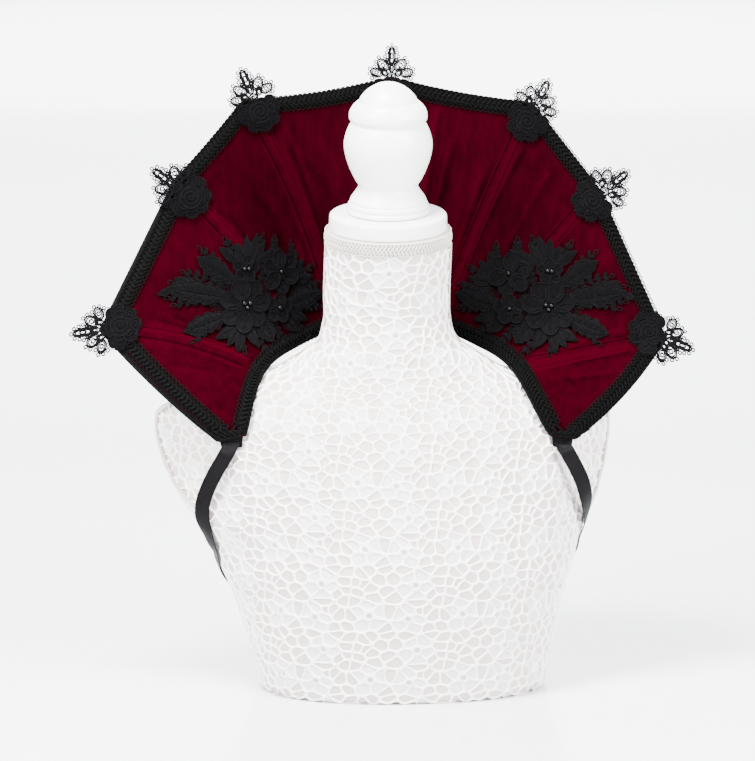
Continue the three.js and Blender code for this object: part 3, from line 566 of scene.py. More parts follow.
def shoulder_twist(name, rows, columns):
    """A flat twisted cord laid along a route on the form, over a narrow tape."""
    middle = on_form(rows, columns, 0.2 + 0 * rows)
    up = sampled(body_facing, rows, columns)
    run = run_along(middle)
    side = unit(np.cross(up, np.gradient(middle, axis=0)))

    def seat(s, aside, lift):
        path, normal, across = (point_at(s, run, table) for table in (middle, up, side))
        normal = unit(normal)
        return path + across * np.asarray(aside)[:, None] + normal * np.asarray(lift)[:, None], normal

    strands = [(0, -0.8, 3.8, 0.75, 0.95, 1.7), (1.35, 0.8, 3.8, -0.75, 0.95, 1.7)]
    twist = plaited(seat, np.arange(1.5, run[-1] - 1.5, 2.7), [], strands)
    make_piece(name, *twist, trim_thread, "form_lace")
    s = np.linspace(1.5, run[-1] - 1.5, 140)
    cut = [(-2.6, 0), (-2.2, 0.9), (2.2, 0.9), (2.6, 0)]
    strip = np.stack([seat(s, aside + 0 * s, lift + 0 * s)[0] for aside, lift in cut], 1)
    make_piece(name + "_tape", strip.reshape(-1, 3), net_faces(140, 4)[:, ::-1], trim_tape, "form_lace")


# Where the cords run: heights of the armhole's foot and the seam's neck end, the
# seam's steps round the form, and how far a cord lies off an armhole's back edge.
armhole_foot, seam_top, off_edge = 150, 403, 3
for side, name, seam in ((-1, "left", 192), (1, "right", 528)):
    way = turned(plate_way * (side, 1, 1), form_turn)
    rows, columns = [], []
    for row in np.linspace(np.searchsorted(body_heights, armhole_foot), len(body_heights) - 1, 160):
        on_plate = np.flatnonzero(body_skin[int(row)] @ way > plate_reach - 0.6)
        if len(on_plate) > 8:
            rows.append(row)
            columns.append(float(on_plate[0] + off_edge if side < 0 else on_plate[-1] - off_edge))
    rows, columns = (
        np.convolve(np.pad(line, 2, "edge"), np.ones(5) / 5, "valid") for line in (rows, columns)
    )
    shoulder_twist("armhole_cord_" + name, rows, columns)
    down = np.linspace(np.searchsorted(body_heights, seam_top), rows.max(), 160)
    shoulder_twist("shoulder_cord_" + name, down, seam + 0 * down)

# The wooden cap that closes the neck and the turned finial on it, sealed and
# sprayed satin white, glued one on the other.
paint_coat = {"Coat Weight": 0.12, "Coat Roughness": 0.25}
white_paint = cloth_finish(
    "white_paint", (0.8, 0.8, 0.8), 0.33, 0.0, (1, 1, 1), 160, 0.00012, 0.012, paint_coat,
)


def turned_wood(name, profile, base, node):
    """A lathe turning round the neck's axis, its corners eased with sandpaper."""
    line = np.array(profile, float)
    for _ in range(2):
        a, b = line[:-1], line[1:]
        eased = np.stack([a * 0.75 + b * 0.25, a * 0.25 + b * 0.75], 1).reshape(-1, 2)
        line = np.vstack([line[:1], eased[1:-1], line[-1:]])
    line = line[np.append(True, np.linalg.norm(np.diff(line, axis=0), axis=1) > 0.12)]
    inner, around = line[1:-1], 96
    points = [on_neck(full_turn(around), radius, base + height) for radius, height in inner]
    points += [on_neck(np.zeros(1), 0, base + end[1]) for end in (line[0], line[-1])]
    faces = net_faces(len(inner), around, closed=True).tolist()
    low = len(inner) * around
    last = low - around
    for k in range(around):
        n = (k + 1) % around
        faces += [[low, n, k], [last + k, last + n, low + 1]]
    make_piece(name, np.vstack(points), faces, white_paint, "white_paint", [node])


turned_wood("neck_cap_turning", [
    (0, 0.3), (51.6, 0.3), (52.3, 0.35), (52.8, 1), (52.8, 6), (52.8, 11), (52.4, 13.2), (51, 14.4),
    (48.5, 14.9), (46, 14.95), (40, 14.9), (0, 14.9),
], 0.3, "neck_cap")
turned_wood("finial_turning", [
    (0, 0), (34, 0), (36.6, 0.1), (37.3, 1.4), (37.2, 3.2), (36.2, 4.4), (35.4, 4.7), (35.2, 5.0), (35.9, 5.4),
    (36.2, 6.6), (35.8, 8.6), (34.9, 9.5), (34.3, 9.8), (34.2, 10.1), (34.5, 10.6), (34.2, 12.2), (32.6, 15),
    (30.4, 18), (28.2, 21), (26.8, 23.4), (26.6, 25), (27.4, 27), (29.7, 30), (33.8, 38.6),
    (37.2, 47.8), (39.3, 57), (39.6, 64), (38, 71.5), (35.2, 78.6), (33.0, 81.8), (32.2, 82.4), (32.2, 82.8),
    (33.4, 83.4), (34.8, 85.4), (35, 88), (34.7, 91), (33, 95), (30.4, 98.2), (27.8, 100.4), (26.2, 101),
    (25.9, 101.3), (25.8, 102.2), (24.6, 104.6), (22.6, 107.4), (18.6, 111.4),
    (11.7, 115.8), (5, 117.9), (0, 118.2),
], 15.6, "finial")

# The collar's outer face: firm black cloth, cut like the velvet, its edge turned
# round over the velvet all the way and held there under the braid.
# A row a bone or corner: neck end, rim end, sideways and upward bend.
collar_lines = [
    ((-124.5, -84, 236.5), (-151.5, -77, 229.5), 0, 0), ((-109, -17, 286.5), (-259, -20, 323.5), 0, 9),
    ((-79, 30, 305.5), (-196.6, 45, 453.5), 7, 7), ((-45, 58, 317), (-133.2, 85, 528.5), 9, 5),
    ((0, 70, 322), (3.6, 124, 549), 0, 0), ((45, 68, 317), (136.1, 117, 525.2), -2, 1),
    ((79.7, 50, 304.5), (197.5, 93, 446), -2, 3), ((111, 7, 287.5), (256.4, 42, 311.7), 0, 0),
    ((144, -50, 232), (169, -42, 228), 0, 0),
]
neck_ends = np.array([line[0] for line in collar_lines], float)
rim_ends = np.array([line[1] for line in collar_lines], float)
bone_bend = np.array([line[2:] for line in collar_lines], float)
panels = len(collar_lines) - 1
# A row a panel: dip of its rim, seat of its braid, belly, reach over the chest.
panel_cut = np.array([
    (-4, 4.5, 0, 14), (0, 4.5, 4, 0), (1, 1, 4, 0), (4.5, 1, 3, 0), (3.2, 1.6, 3, 0), (0, 0.4, 3, 0),
    (0, 0.2, 3, 0), (-7, 1.6, 0, 20),
], float)
# Soft folds between the bones: place, from, to, width, depth.
soft_folds = [
    (2.62, 0.05, 0.8, 0.1, 3), (3.4, 0.05, 0.75, 0.14, 2.5), (4.3, 0.1, 1, 0.1, 2.5), (4.62, 0.05, 0.8, 0.13, 4),
    (6.6, 0.1, 0.75, 0.16, 2), (1.5, 0.1, 0.85, 0.2, 2), (0.55, 0.15, 0.8, 0.16, 2.5), (7.5, 0.15, 0.8, 0.18, 2.5),
]

past_corner = 31.0


def smooth_step(t):
    t = np.clip(t, 0, 1)
    return t * t * (3 - 2 * t)


def between(v, start, end, sharp):
    """One inside a stretch and nothing outside it, with soft ends."""
    return smooth_step((v - start) * sharp) * smooth_step((end - v) * sharp)


def through_points(knots, at):
    """An even, smooth curve through points, and the way it runs, at places counted in points."""
    padded = np.vstack([2 * knots[0] - knots[1], knots, 2 * knots[-1] - knots[-2]])
    k = np.clip(np.floor(at).astype(int), 0, len(knots) - 2)
    w = (at - k)[..., None]
    p0, p1, p2, p3 = (padded[k + i] for i in range(4))
    d0, d1, d2 = (
        np.maximum(np.sum((a - b) ** 2, -1, keepdims=True), 1e-12) ** 0.25
        for a, b in ((p1, p0), (p2, p1), (p3, p2))
    )
    t1 = ((p1 - p0) / d0 - (p2 - p0) / (d0 + d1) + (p2 - p1) / d1) * d1
    t2 = ((p2 - p1) / d1 - (p3 - p1) / (d1 + d2) + (p3 - p2) / d2) * d1
    c2, c3 = -3 * p1 + 3 * p2 - 2 * t1 - t2, 2 * p1 - 2 * p2 + t1 + t2
    return p1 + t1 * w + c2 * w * w + c3 * w**3, t1 + 2 * c2 * w + 3 * c3 * w * w


def neck_edge(u):
    """The collar's neck edge, bent evenly through the bones' lower ends."""
    inside = np.clip(u, 0, panels)
    place, way = through_points(neck_ends, inside)
    return place + unit(way) * ((u - inside) * past_corner)[..., None]


def collar_face(u, v):
    """The velvet's own surface: u counts bones from the left, v runs neck to rim."""
    u, v = np.broadcast_arrays(np.asarray(u, float), np.asarray(v, float))
    k = np.clip(np.floor(u).astype(int), 0, panels - 1)
    w = u - k
    c = np.clip(w, 0, 1)
    across, along = 4 * c * (1 - c), np.maximum(4 * v * (1 - v), 0)
    sag, _, belly, forward = (panel_cut[k, i] for i in range(4))
    rim = rim_ends[k] * (1 - w)[..., None] + rim_ends[k + 1] * w[..., None]
    rim = rim + unit(np.array([0, 20, 330]) - rim) * (sag * across)[..., None]
    p = neck_edge(u) * (1 - v)[..., None] + rim * v[..., None]
    bend = bone_bend[k] * (1 - w)[..., None] + bone_bend[k + 1] * w[..., None]
    x, y, z = p[..., 0] + bend[..., 0] * along, p[..., 1], p[..., 2] + bend[..., 1] * along
    y = y + 7 * along * np.sin(math.pi * np.clip(u, 0, panels) / panels)
    y = y + belly * across * smooth_step(v * 2) * smooth_step((1.4 - v) * 2)
    for at, start, end, wide, deep in soft_folds:
        y = y + deep * np.exp(-(((u - at) / wide) ** 2)) * between(v, start, end, 6)
    y = y - forward * across * (1 - np.minimum(v, 1))
    return np.stack([x, y, z], -1)


def collar_facing(u, v, reach=0.008):
    du = collar_face(u + reach, v) - collar_face(u - reach, v)
    dv = collar_face(u, v + reach) - collar_face(u, v - reach)
    return unit(np.cross(du, dv))


def off_collar(u, v, lift):
    return collar_face(u, v) + collar_facing(u, v) * np.asarray(lift, float)[..., None]


def fan_columns(each):
    """Places across all panels, with the collar's length from neck to rim at each."""
    u = np.linspace(0, panels, panels * each + 1)
    return u, np.linalg.norm(collar_face(u, 1) - collar_face(u, 0), axis=1)


lining_black = cloth_finish(
    "lining_black", (0.0016, 0.0015, 0.0017), 0.75, 0.012, (0.6, 0.6, 0.66), 1500, 0.0004, 0.12,
    {"Specular IOR Level": 0.03},
)
shell_u, shell_long = fan_columns(26)
# The turned edge: distance from the fold, lift of its outside, lift of its inside.
edge_turn = [
    (6.0, 0.5, 0.12), (2.0, 0.6, 0.15), (0.9, 0.55, 0.1), (0.25, 0.0, -0.4), (0.0, -0.9, -0.9),
    (0.1, -1.8, -1.2), (0.5, -2.6, -1.5), (1.4, -2.95, -1.6),
]


def shell_sheet(outside):
    """One face of the shell, from the edge turned at the rim to the one at the neck."""
    turn = [(d, a) if outside else (d + (0.5 if d < 1 else 0), b) for d, a, b in edge_turn]
    near_bone = np.abs(shell_u - np.round(shell_u)) * shell_long * 0.45
    groove = np.where((shell_u > 0.5) & (shell_u < 7.5), 0.55 * np.exp(-((near_bone - 4.2) / 0.9) ** 2), 0)
    rows = [(1 - d / shell_long, lift) for d, lift in turn]
    for share in np.linspace(0, 1, 40):
        ripple = 0.25 * np.sin(shell_u * 9.0 + share * 5) * math.sin(math.pi * share)
        v = (1 - 1.6 / shell_long) + (3.2 / shell_long - 1) * share
        rows.append((v, turn[-1][1] + (groove - ripple if outside else 0)))
    rows += [(d / shell_long, lift) for d, lift in reversed(turn)]
    return np.array([off_collar(shell_u, v, lift + 0 * v) for v, lift in rows])


def two_faced(front, back, way):
    """Cloth with two faces joined round all its edges; way tells which side looks out."""
    rows, columns = front.shape[:2]
    half = rows * columns
    faces = net_faces(rows, columns)[:, ::way].tolist()
    faces += net_faces(rows, columns, start=half)[:, ::-way].tolist()
    for r in range(rows - 1):
        a, b = r * columns, (r + 1) * columns
        c, d = a + columns - 1, b + columns - 1
        faces += [[b, a, half + a, half + b][::way], [c, d, half + d, half + c][::way]]
    for c in range(columns - 1):
        d = half - columns + c
        faces += [[c, c + 1, half + c + 1, half + c][::way], [d + 1, d, half + d, half + d + 1][::way]]
    return np.vstack([front.reshape(-1, 3), back.reshape(-1, 3)]), faces


shell_mesh = two_faced(shell_sheet(True), shell_sheet(False), -1)
shell_cloth = make_piece("outer_shell_cloth", *shell_mesh, lining_black, "black_lining", ["outer_shell"])

# The collar's inner face: burgundy cotton velvet stretched over the bones, with
# a short pile. Its tone carries painted light and shade on the flanks of each fold,
# painted shade near the neck and on the middle panels, and painted highlights along each ridge.
velvet, add, shade = new_finish("burgundy_velvet")
place = add("TexCoord", "Object", {})
stretched = add("Mapping", "Vector", {"Vector": place, "Scale": (90, 90, 22)})
crush = add("TexNoise", "Fac", {"Vector": stretched, "Scale": 1.6, "Detail": 8, "Roughness": 0.68})
slow = add("TexNoise", "Fac", {"Vector": place, "Scale": 9, "Detail": 2})
pile = add("TexNoise", "Fac", {"Vector": place, "Scale": 2600})
# Painted light and shade stored on the velvet, mixed with the pile's random crush and slow blotches.
painted_shade_values = add("Attribute", "Fac", {}, attribute_name="painted_shading")
blotch_and_painted_shade = add("Math", "Value", {0: slow, 1: 0.5, 2: painted_shade_values}, operation="MULTIPLY_ADD")
mixed = add("Math", "Value", {0: crush, 1: 0.75, 2: blotch_and_painted_shade}, operation="MULTIPLY_ADD")
tone_with_painted_shade = add("ValToRGB", "Color", {"Fac": mixed})
dark, bright = tone_with_painted_shade.node.color_ramp.elements
dark.position, dark.color = 0.3, (0.0021, 0.00006, 0.00042, 1)
bright.position, bright.color = 1.0, (0.0155, 0.0002, 0.0018, 1)
nap = add("Math", "Value", {0: crush, 1: 2.0, 2: pile}, operation="MULTIPLY_ADD")
relief = add("Bump", "Normal", {"Strength": 0.5, "Distance": 0.0006, "Height": nap})
shade({
    "Base Color": tone_with_painted_shade, "Normal": relief, "Roughness": 0.92, "Specular IOR Level": 0.0,
    "Sheen Weight": 0.2, "Sheen Roughness": 0.32, "Sheen Tint": (0.62, 0.0, 0.035, 1),
})

# Puckers drawn up by the sewing, each its own: place, from, to, width, height, lean.
velvet_puckers = [
    (0.93, 0.3, 0.85, 0.03, 0.7, 0.02), (1.09, 0.28, 0.8, 0.035, 1.1, 0.05), (1.16, 0.35, 0.7, 0.02, 0.6, 0.1),
    (1.92, 0.1, 0.6, 0.035, 0.8, -0.03), (2.12, 0.2, 0.75, 0.04, 0.9, 0.06), (2.9, 0.05, 0.6, 0.03, 0.8, -0.05),
    (3.11, 0.1, 0.85, 0.03, 1.0, 0.03), (3.22, 0.55, 0.97, 0.03, 0.5, -0.05), (3.8, 0.5, 0.98, 0.04, 0.6, 0.03),
    (4.38, 0.35, 0.98, 0.03, 0.9, -0.02), (4.52, 0.2, 0.85, 0.025, 0.7, 0.03), (4.88, 0.1, 0.75, 0.045, 1.3, -0.04),
    (5.1, 0.25, 0.9, 0.035, 0.9, 0.05), (5.55, 0.3, 0.95, 0.04, 0.5, -0.08), (5.9, 0.1, 0.6, 0.03, 0.8, -0.04),
    (6.1, 0.2, 0.7, 0.04, 1.0, 0.05), (6.92, 0.3, 0.85, 0.035, 1.0, -0.02), (7.08, 0.3, 0.9, 0.04, 1.2, 0.02),
    (7.3, 0.3, 0.8, 0.03, 0.5, 0.06), (0.7, 0.25, 0.75, 0.04, 0.6, -0.05), (0.3, 0.3, 0.8, 0.06, 0.5, 0.03),
    (1.7, 0.45, 0.9, 0.05, 0.5, 0.07), (6.4, 0.5, 0.95, 0.05, 0.5, 0.05),
]


def velvet_relief(u, v):
    rise = 0.12 * np.sin(u * 31 + 3 * np.sin(v * 9)) * np.sin(v * 17 + u * 4)
    for at, start, end, wide, high, lean in velvet_puckers:
        off = (u - at - lean * (v - 0.5)) / wide
        rise = rise + high * np.exp(-off * off) * between(v, start, end, 8)
    return rise * between(v, 0.03, 0.97, 20)


def store_painted_shading(piece, painted_shade_values):
    """Keeps, for each point, the painted light and shade of the velvet there."""
    stored = piece.data.attributes.new("painted_shading", "FLOAT", "POINT")
    stored.data.foreach_set("value", np.clip(painted_shade_values, -0.2, 1.2).astype(np.float32).ravel())


def painted_shading(u, v):
    """Painted light and shade: bright on one flank of each fold and dark on the other, darker towards the neck and
    on the middle panels.
    """
    step = 0.004
    lean = (velvet_relief(u + step, v) - velvet_relief(u - step, v)) / (2 * step)
    folds = 0 * u
    for at, start, end, wide, deep in soft_folds:
        off = (u - at) / wide
        folds = folds + deep / wide * off * np.exp(-off * off) * between(v, start, end, 5)
    return -0.01 + 0.01 * lean + 0.008 * folds + 0.16 * (v - 0.5) + 0.035 * np.abs(u - 4)


velvet_u, velvet_long = fan_columns(34)
velvet_thick = 1.25
front, back, painted_shade_values = [], [], []
for share in np.linspace(0, 1, 76):
    v = 1.4 / velvet_long + (1 - 2.8 / velvet_long) * share
    rise = velvet_relief(velvet_u, v)
    # Painted light and shade for this row of the velvet.
    painted_shade_values.append(painted_shading(velvet_u, v))
    front.append(off_collar(velvet_u, v, rise))
    back.append(off_collar(velvet_u, v, rise - velvet_thick))
velvet_mesh = two_faced(np.array(front), np.array(back), 1)
velvet_cloth = make_piece("velvet_facing_cloth", *velvet_mesh, velvet, "burgundy_velvet", ["velvet_facing"])
store_painted_shading(velvet_cloth, np.concatenate([painted_shade_values, painted_shade_values]))

# Bone channels: a tunnel of the same velvet stitched down over each bone with
# two rows of red thread, soft and a little puffed between the rows.
red_thread = thread_finish(
    "red_thread", (0.006, 0.0, 0.001), 0.8, 300, 0.0002, 0.0, {"Specular IOR Level": 0.02},
)
bone_names = ["low_left", "mid_left", "high_left", "centre", "high_right", "mid_right", "low_right"]


def behind(x, z):
    """Where on the velvet a point of the front view lies."""
    gu, gv = np.meshgrid(np.arange(0, 8.01, 0.25), np.arange(0, 1.21, 0.1), indexing="ij")
    guess = collar_face(gu, gv)[..., [0, 2]].reshape(-1, 2)
    shape = np.shape(x)
    x, z = np.ravel(x), np.ravel(z)
    u, v = np.empty(len(x)), np.empty(len(x))
    for s in range(0, len(x), 20000):
        part = slice(s, s + 20000)
        far = (x[part, None] - guess[:, 0]) ** 2 + (z[part, None] - guess[:, 1]) ** 2
        near = far.argmin(1)
        u[part], v[part] = gu.ravel()[near], gv.ravel()[near]
    for _ in range(12):
        p = collar_face(u, v)
        du = (collar_face(u + 1e-3, v) - p) / 1e-3
        dv = (collar_face(u, v + 1e-3) - p) / 1e-3
        det = du[:, 0] * dv[:, 2] - du[:, 2] * dv[:, 0]
        ex, ez = x - p[:, 0], z - p[:, 2]
        u = np.clip(u + np.clip((ex * dv[:, 2] - ez * dv[:, 0]) / det, -0.2, 0.2), -0.05, 8.05)
        v = v + np.clip((ez * du[:, 0] - ex * du[:, 2]) / det, -0.15, 0.15)
    return u.reshape(shape), v.reshape(shape)


def laid_on_velvet(x, z, lift):
    u, v = behind(x, z)
    return off_collar(u, v, lift)


# The tunnel's cut: off the bone's line and rise. Then, off the bone's line, painted light and shade on the tunnel:
# bright on its ridges, brighter on one side, dark in its grooves.
channel_cut = [
    (-7.2, -0.35), (-6.4, 0.5), (-5.6, 0.95), (-5.0, 0.75), (-4.5, 0.1), (-4.0, 0.75), (-3.0, 1.75), (0, 2.0),
    (3.0, 1.75), (4.0, 0.75), (4.5, 0.1), (5.0, 0.75), (5.6, 0.95), (6.4, 0.5), (7.2, -0.35),
]
channel_painted_light = np.array([
    (-7.2, 0.36), (-6, 0.42), (-5.2, 0.3), (-4.5, 0.0), (-3.8, 0.2), (-2, 0.42), (0, 0.34), (2, 0.5),
    (3.5, 0.85), (4.5, 0.05), (5.2, 0.6), (6, 0.75), (7.2, 0.36),
])
stitch_rows = (4, 10)
off_neck_edge, off_rim = 17, 24
for number, name in enumerate(bone_names, start=1):
    long = float(np.linalg.norm(collar_face(number, 1.0) - collar_face(number, 0.0)))
    v = np.linspace(off_neck_edge / long, 1 - off_rim / long, 56)
    middle = collar_face(number, v)[:, [0, 2]]
    ahead = unit(np.gradient(middle, axis=0))
    aside = np.stack([ahead[:, 1], -ahead[:, 0]], -1)
    wobble = 0.25 * np.sin(v * 40 + number) + 0.2 * np.sin(v * 91 + 2 * number)
    ends = between(v, v[0], v[-1], long / 6)
    tops, stitches, channel_painted_shade = [], [], []
    for off, rise in channel_cut:
        q = middle + aside * (off + 0.18 * wobble[:, None] * np.sign(off))
        u_at, v_at = behind(q[:, 0], q[:, 1])
        lift = rise * (0.25 + 0.75 * ends) + wobble * 0.15 * (abs(off) < 3) - 0.3 * (1 - ends)
        tops.append(off_collar(u_at, v_at, lift + 0.35 * velvet_relief(u_at, v_at)))
        # Painted light and shade on the tunnel, read from its table, with a little wobble.
        channel_painted_shade.append(1.7 * np.interp(off, *channel_painted_light.T) - 0.36 + 0.12 * wobble)
    tops = np.array(tops)
    strip_faces = net_faces(*tops.shape[:2])[:, ::-1].tolist()
    strip = make_piece(
        "bone_channel_velvet_" + name, tops.reshape(-1, 3), strip_faces, velvet, "burgundy_velvet",
        ["bone_channel_" + name],
    )
    store_painted_shading(strip, np.array(channel_painted_shade))
    normal = collar_facing(number + 0 * v, v)
    for line in (tops[row] for row in stitch_rows):
        run = run_along(line)
        for s in np.arange(2, run[-1] - 3, 3.0):
            at = np.linspace(s, s + 2.1, 4)
            path, up = point_at(at, run, line), point_at(at, run, normal)
            stitches.append(corded(path + up * np.array([-0.1, 0.22, 0.22, -0.1])[:, None], up, 0.2, 4))
    make_piece("bone_stitching_" + name, *bundled(stitches), red_thread, "burgundy_velvet")

# Corner tabs: the lining's seam allowance folded and left below each front
# corner, where the ribbon is sewn on.


def sleeve_faces(rows, columns, way):
    """Faces of a flat tube whose two ends are closed; way tells which side looks out."""
    faces = net_faces(rows, columns, closed=True)[:, ::way].tolist()
    last = (rows - 1) * columns
    for k in range(columns // 2 - 1):
        cap = [k, k + 1, columns - 2 - k, columns - 1 - k]
        faces += [cap[::-way], [last + i for i in cap][::way]]
    return faces


for side, corner, way in (("left", 0.0, 1), ("right", float(panels), -1)):
    across_at = np.linspace(0.12, 0.88, 17)
    seam_line, out = collar_face(corner, across_at), collar_facing(corner + 0 * across_at, across_at)
    sheets = []
    for lift in (-0.3, -1.5):
        sheet = []
        for share in np.linspace(-0.8, 1, 10):
            if share < 0:
                lap = 0.55 + 0.3 * lift + 0 * across_at
                sheet.append(off_collar(corner - way * 0.1 * share, across_at, lap))
                continue
            fall = np.array([0, 1.6 * share, -9.5 * share])
            drawn_in = (seam_line.mean(0) - seam_line) * 0.16 * share
            ripple = 0.55 * np.sin(across_at * 19 + 2.5 * share) * share - 0.5 * share
            sheet.append(seam_line + fall + drawn_in + out * (lift + ripple)[:, None])
        sheets.append(np.array(sheet))
    ring = np.concatenate([sheets[0], sheets[1][:, ::-1]], axis=1)
    faces = sleeve_faces(*ring.shape[:2], way)
    make_piece("corner_tab_" + side, ring.reshape(-1, 3), faces, lining_black, "black_lining")

# Gimp braid: black cord plaited in a chevron between two rows of small loops,
# sewn over the turned edge in one length round the rim and one at the neck.
black_cord = thread_finish(
    "black_cord", (0.0009, 0.0009, 0.0009), 0.6, 330, 0.0003, 0.012,
    {"Specular IOR Level": 0.03, "Sheen Tint": (0.55, 0.6, 0.6, 1)},
)
gimp_width = 12.6
cloth_to_braid = 0.65


def braid_inset(u):
    """How far the braid lies inside the rim, each panel its own."""
    k = np.clip(np.floor(u).astype(int), 0, panels - 1)
    w = u - k
    here = panel_cut[k, 1]
    before, after = panel_cut[np.maximum(k - 1, 0), 1], panel_cut[np.minimum(k + 1, panels - 1), 1]
    rising = (before + here) / 2 + (here - (before + here) / 2) * smooth_step(w * 5)
    return rising + ((here + after) / 2 - rising) * smooth_step((w - 0.8) * 5)


def edge_tape(edge, inward):
    """The strip of collar under a braid: its places, facings and running length."""
    u = np.linspace(-0.02, panels + 0.02, 560)
    middle = collar_face(u, edge)[:, [0, 2]]
    ahead = unit(collar_face(u + 0.06, edge)[:, [0, 2]] - collar_face(u - 0.06, edge)[:, [0, 2]])
    across = np.stack([ahead[:, 1], -ahead[:, 0]], -1) * inward
    start = braid_inset(u) if edge > 0.5 else 0.5 + 0 * u
    shares = np.linspace(-0.1, 1.1, 9)
    q = middle[:, None] + across[:, None] * (start[:, None] + shares * gimp_width)[..., None]
    u_at, v_at = behind(q[..., 0], q[..., 1])
    places = collar_face(u_at, v_at)
    return places, collar_facing(u_at, v_at), run_along(places[:, 4])


def as_arrays(*values):
    return np.broadcast_arrays(*(np.asarray(value, float) for value in values))


def gimp_braid(name, edge, inward, node, trim_ends):
    """One length of braid along an edge, on a flat ground of the same cord."""
    places, facings, run = edge_tape(edge, inward)

    def seat(s, aside, lift):
        s, aside, lift = as_arrays(s, aside, lift)
        row = np.interp(s, run, np.arange(len(run)))
        column = ((aside / gimp_width + 0.5) + 0.1) / 0.15
        up = unit(sampled(facings, row, column))
        return sampled(places, row, column) + up * (lift + cloth_to_braid)[..., None], up

    pitch = 4.7
    count = int((run[-1] - 2 * trim_ends) / pitch)
    outer_loop = -6.4 if edge > 0.5 else -5.3
    loops = [(-0.6, outer_loop, 1.8, 1.7, 0.58, 0.95), (0.6, 5.3, 1.8, 1.7, 0.58, 0.95)]
    strands = [(side * 0.9, side * 3.2, 5.2, side * 0.9, 0.88, 0.95) for side in (-1, 1)]
    strands += [(pitch / 2, side * 1.4, 5.0, side * 0.75, 1.0, 1.5) for side in (-1, 1)]
    braid = plaited(seat, trim_ends + pitch * (np.arange(count) + 0.5), loops, strands)
    make_piece(name, *braid, black_cord, "black_gimp", [node])
    rows = np.linspace(trim_ends, run[-1] - trim_ends, 330)
    half = 4.6
    offs = np.linspace(-half, half, 6)
    ground = [seat(rows, off, 0.15 + 0.35 * (1 - (off / half) ** 2))[0] for off in offs]
    under = [seat(rows, off, -0.1)[0] for off in offs[::-1]]
    ring = np.array(ground + under).transpose(1, 0, 2).reshape(-1, 3)
    faces = net_faces(len(rows), 12, closed=True)[:, ::inward].tolist()
    make_piece(name + "_ground", ring, faces, black_cord, "black_gimp")


def corner_braid(side, u_at, way):
    """The braid's last turn across a blunt front corner."""
    long = float(np.linalg.norm(collar_face(u_at, 1.0) - collar_face(u_at, 0.0)))

    def seat(s, aside, lift):
        s, aside, lift = as_arrays(s, aside, lift)
        u, v = u_at + way * (aside + 5.2) / 62.0, s / long
        return off_collar(u, v, lift + cloth_to_braid), collar_facing(u, v)

    pitch = 4.4
    strands = [(1.2, -1.4, 5.2, 0.8, 1.05, 1.5), (1.2, 1.2, 5.2, -0.8, 1.05, 1.5)]
    starts = 2.6 + pitch * np.arange(int(long / pitch))
    braid = plaited(seat, starts, [(0, -4.2, 1.7, 1.8, 0.68, 1.3, 12)], strands)
    make_piece("gimp_braid_corner_" + side, *braid, black_cord, "black_gimp")


corner_braid("left", 0.0, 1)
corner_braid("right", float(panels), -1)
gimp_braid("gimp_braid_rim_cord", 1, 1, "gimp_braid_rim", 1.5)
gimp_braid("gimp_braid_neck_cord", 0, -1, "gimp_braid_neck", 3.0)

# Lace points: black guipure cut from the yard, one on the end of each bone. A
# rose with seven scallops lies on the braid and a fan of corded loops, edged
# with tiny rings, stands out beyond the cloth.
lace_thread = thread_finish(
    "lace_thread", (0.0009, 0.0008, 0.001), 0.6, 420, 0.00025, 0.015,
    {"Specular IOR Level": 0.03, "Sheen Tint": (0.62, 0.58, 0.68, 1)},
)
satin_stitch = thread_finish(
    "satin_stitch", (0.0009, 0.0008, 0.001), 0.55, 700, 0.0005, 0.02,
    {"Specular IOR Level": 0.025, "Sheen Tint": (0.6, 0.56, 0.68, 1)},
)
# Seat of each point off the end of its bone, and turn of its fan.
point_seats = {
    "low_left": (4, 4.5, 22), "mid_left": (6, -3.5, 14), "high_left": (8.5, 1, 1), "centre": (0, 0, 0),
    "high_right": (0.5, -5, -4), "mid_right": (2.5, -1.5, -11), "low_right": (-3, 5, -31),
}
# Corded loops of the fan: along, aside, half length, half width, turn, inner loop.
fan_loops = [
    (18, 0, 8.6, 3.3, 0, 0.62), (9.6, 8.6, 6.2, 4.6, 40, 0.6), (9.6, -8.6, 6.2, 4.6, -40, 0.6),
    (2.6, 14.4, 5.6, 3.9, 75, 0.58), (2.6, -14.4, 5.6, 3.9, -75, 0.58), (7.6, 0, 4.2, 3.3, 0, 0.55),
    (3.0, 7.0, 3.6, 2.6, 20, 0), (3.0, -7.0, 3.6, 2.6, -20, 0), (13.4, 4.2, 2.3, 1.5, 25, 0),
    (13.4, -4.2, 2.3, 1.5, -25, 0), (-0.6, 0, 3.2, 4.2, 0, 0.5),
]
# Tiny rings round the edge of the fan.
edge_rings = [
    (28.3, 0), (25.6, 4.0), (21.4, 5.3), (17.6, 6.6), (16.6, 12.6), (12.6, 15.2), (8.2, 16.6), (6.2, 20.8),
    (1.6, 20.8), (-2.4, 18.6),
]
rose_scallops = [(-9, 12), (-9, -12), (-14, 13.5), (-14, -13.5), (-24, 8.5), (-24, -8.5), (-27.5, 0)]


def flat_oval(along, aside, long, wide, turn, count):
    """Points round an oval in the lace's own flat layout."""
    a = full_turn(count)
    x, y = spun(long * np.cos(a), wide * np.sin(a), turn)
    return along + x, aside + y


def flat_loop(along, aside, long, wide, turn, radius, lift, count, sides=5):
    """A loop of cord: its path, thickness, that it closes, and its sides."""
    x, y = flat_oval(along, aside, long, wide, turn, count)
    return np.stack([x, y, lift + 0 * x], -1), radius, True, sides


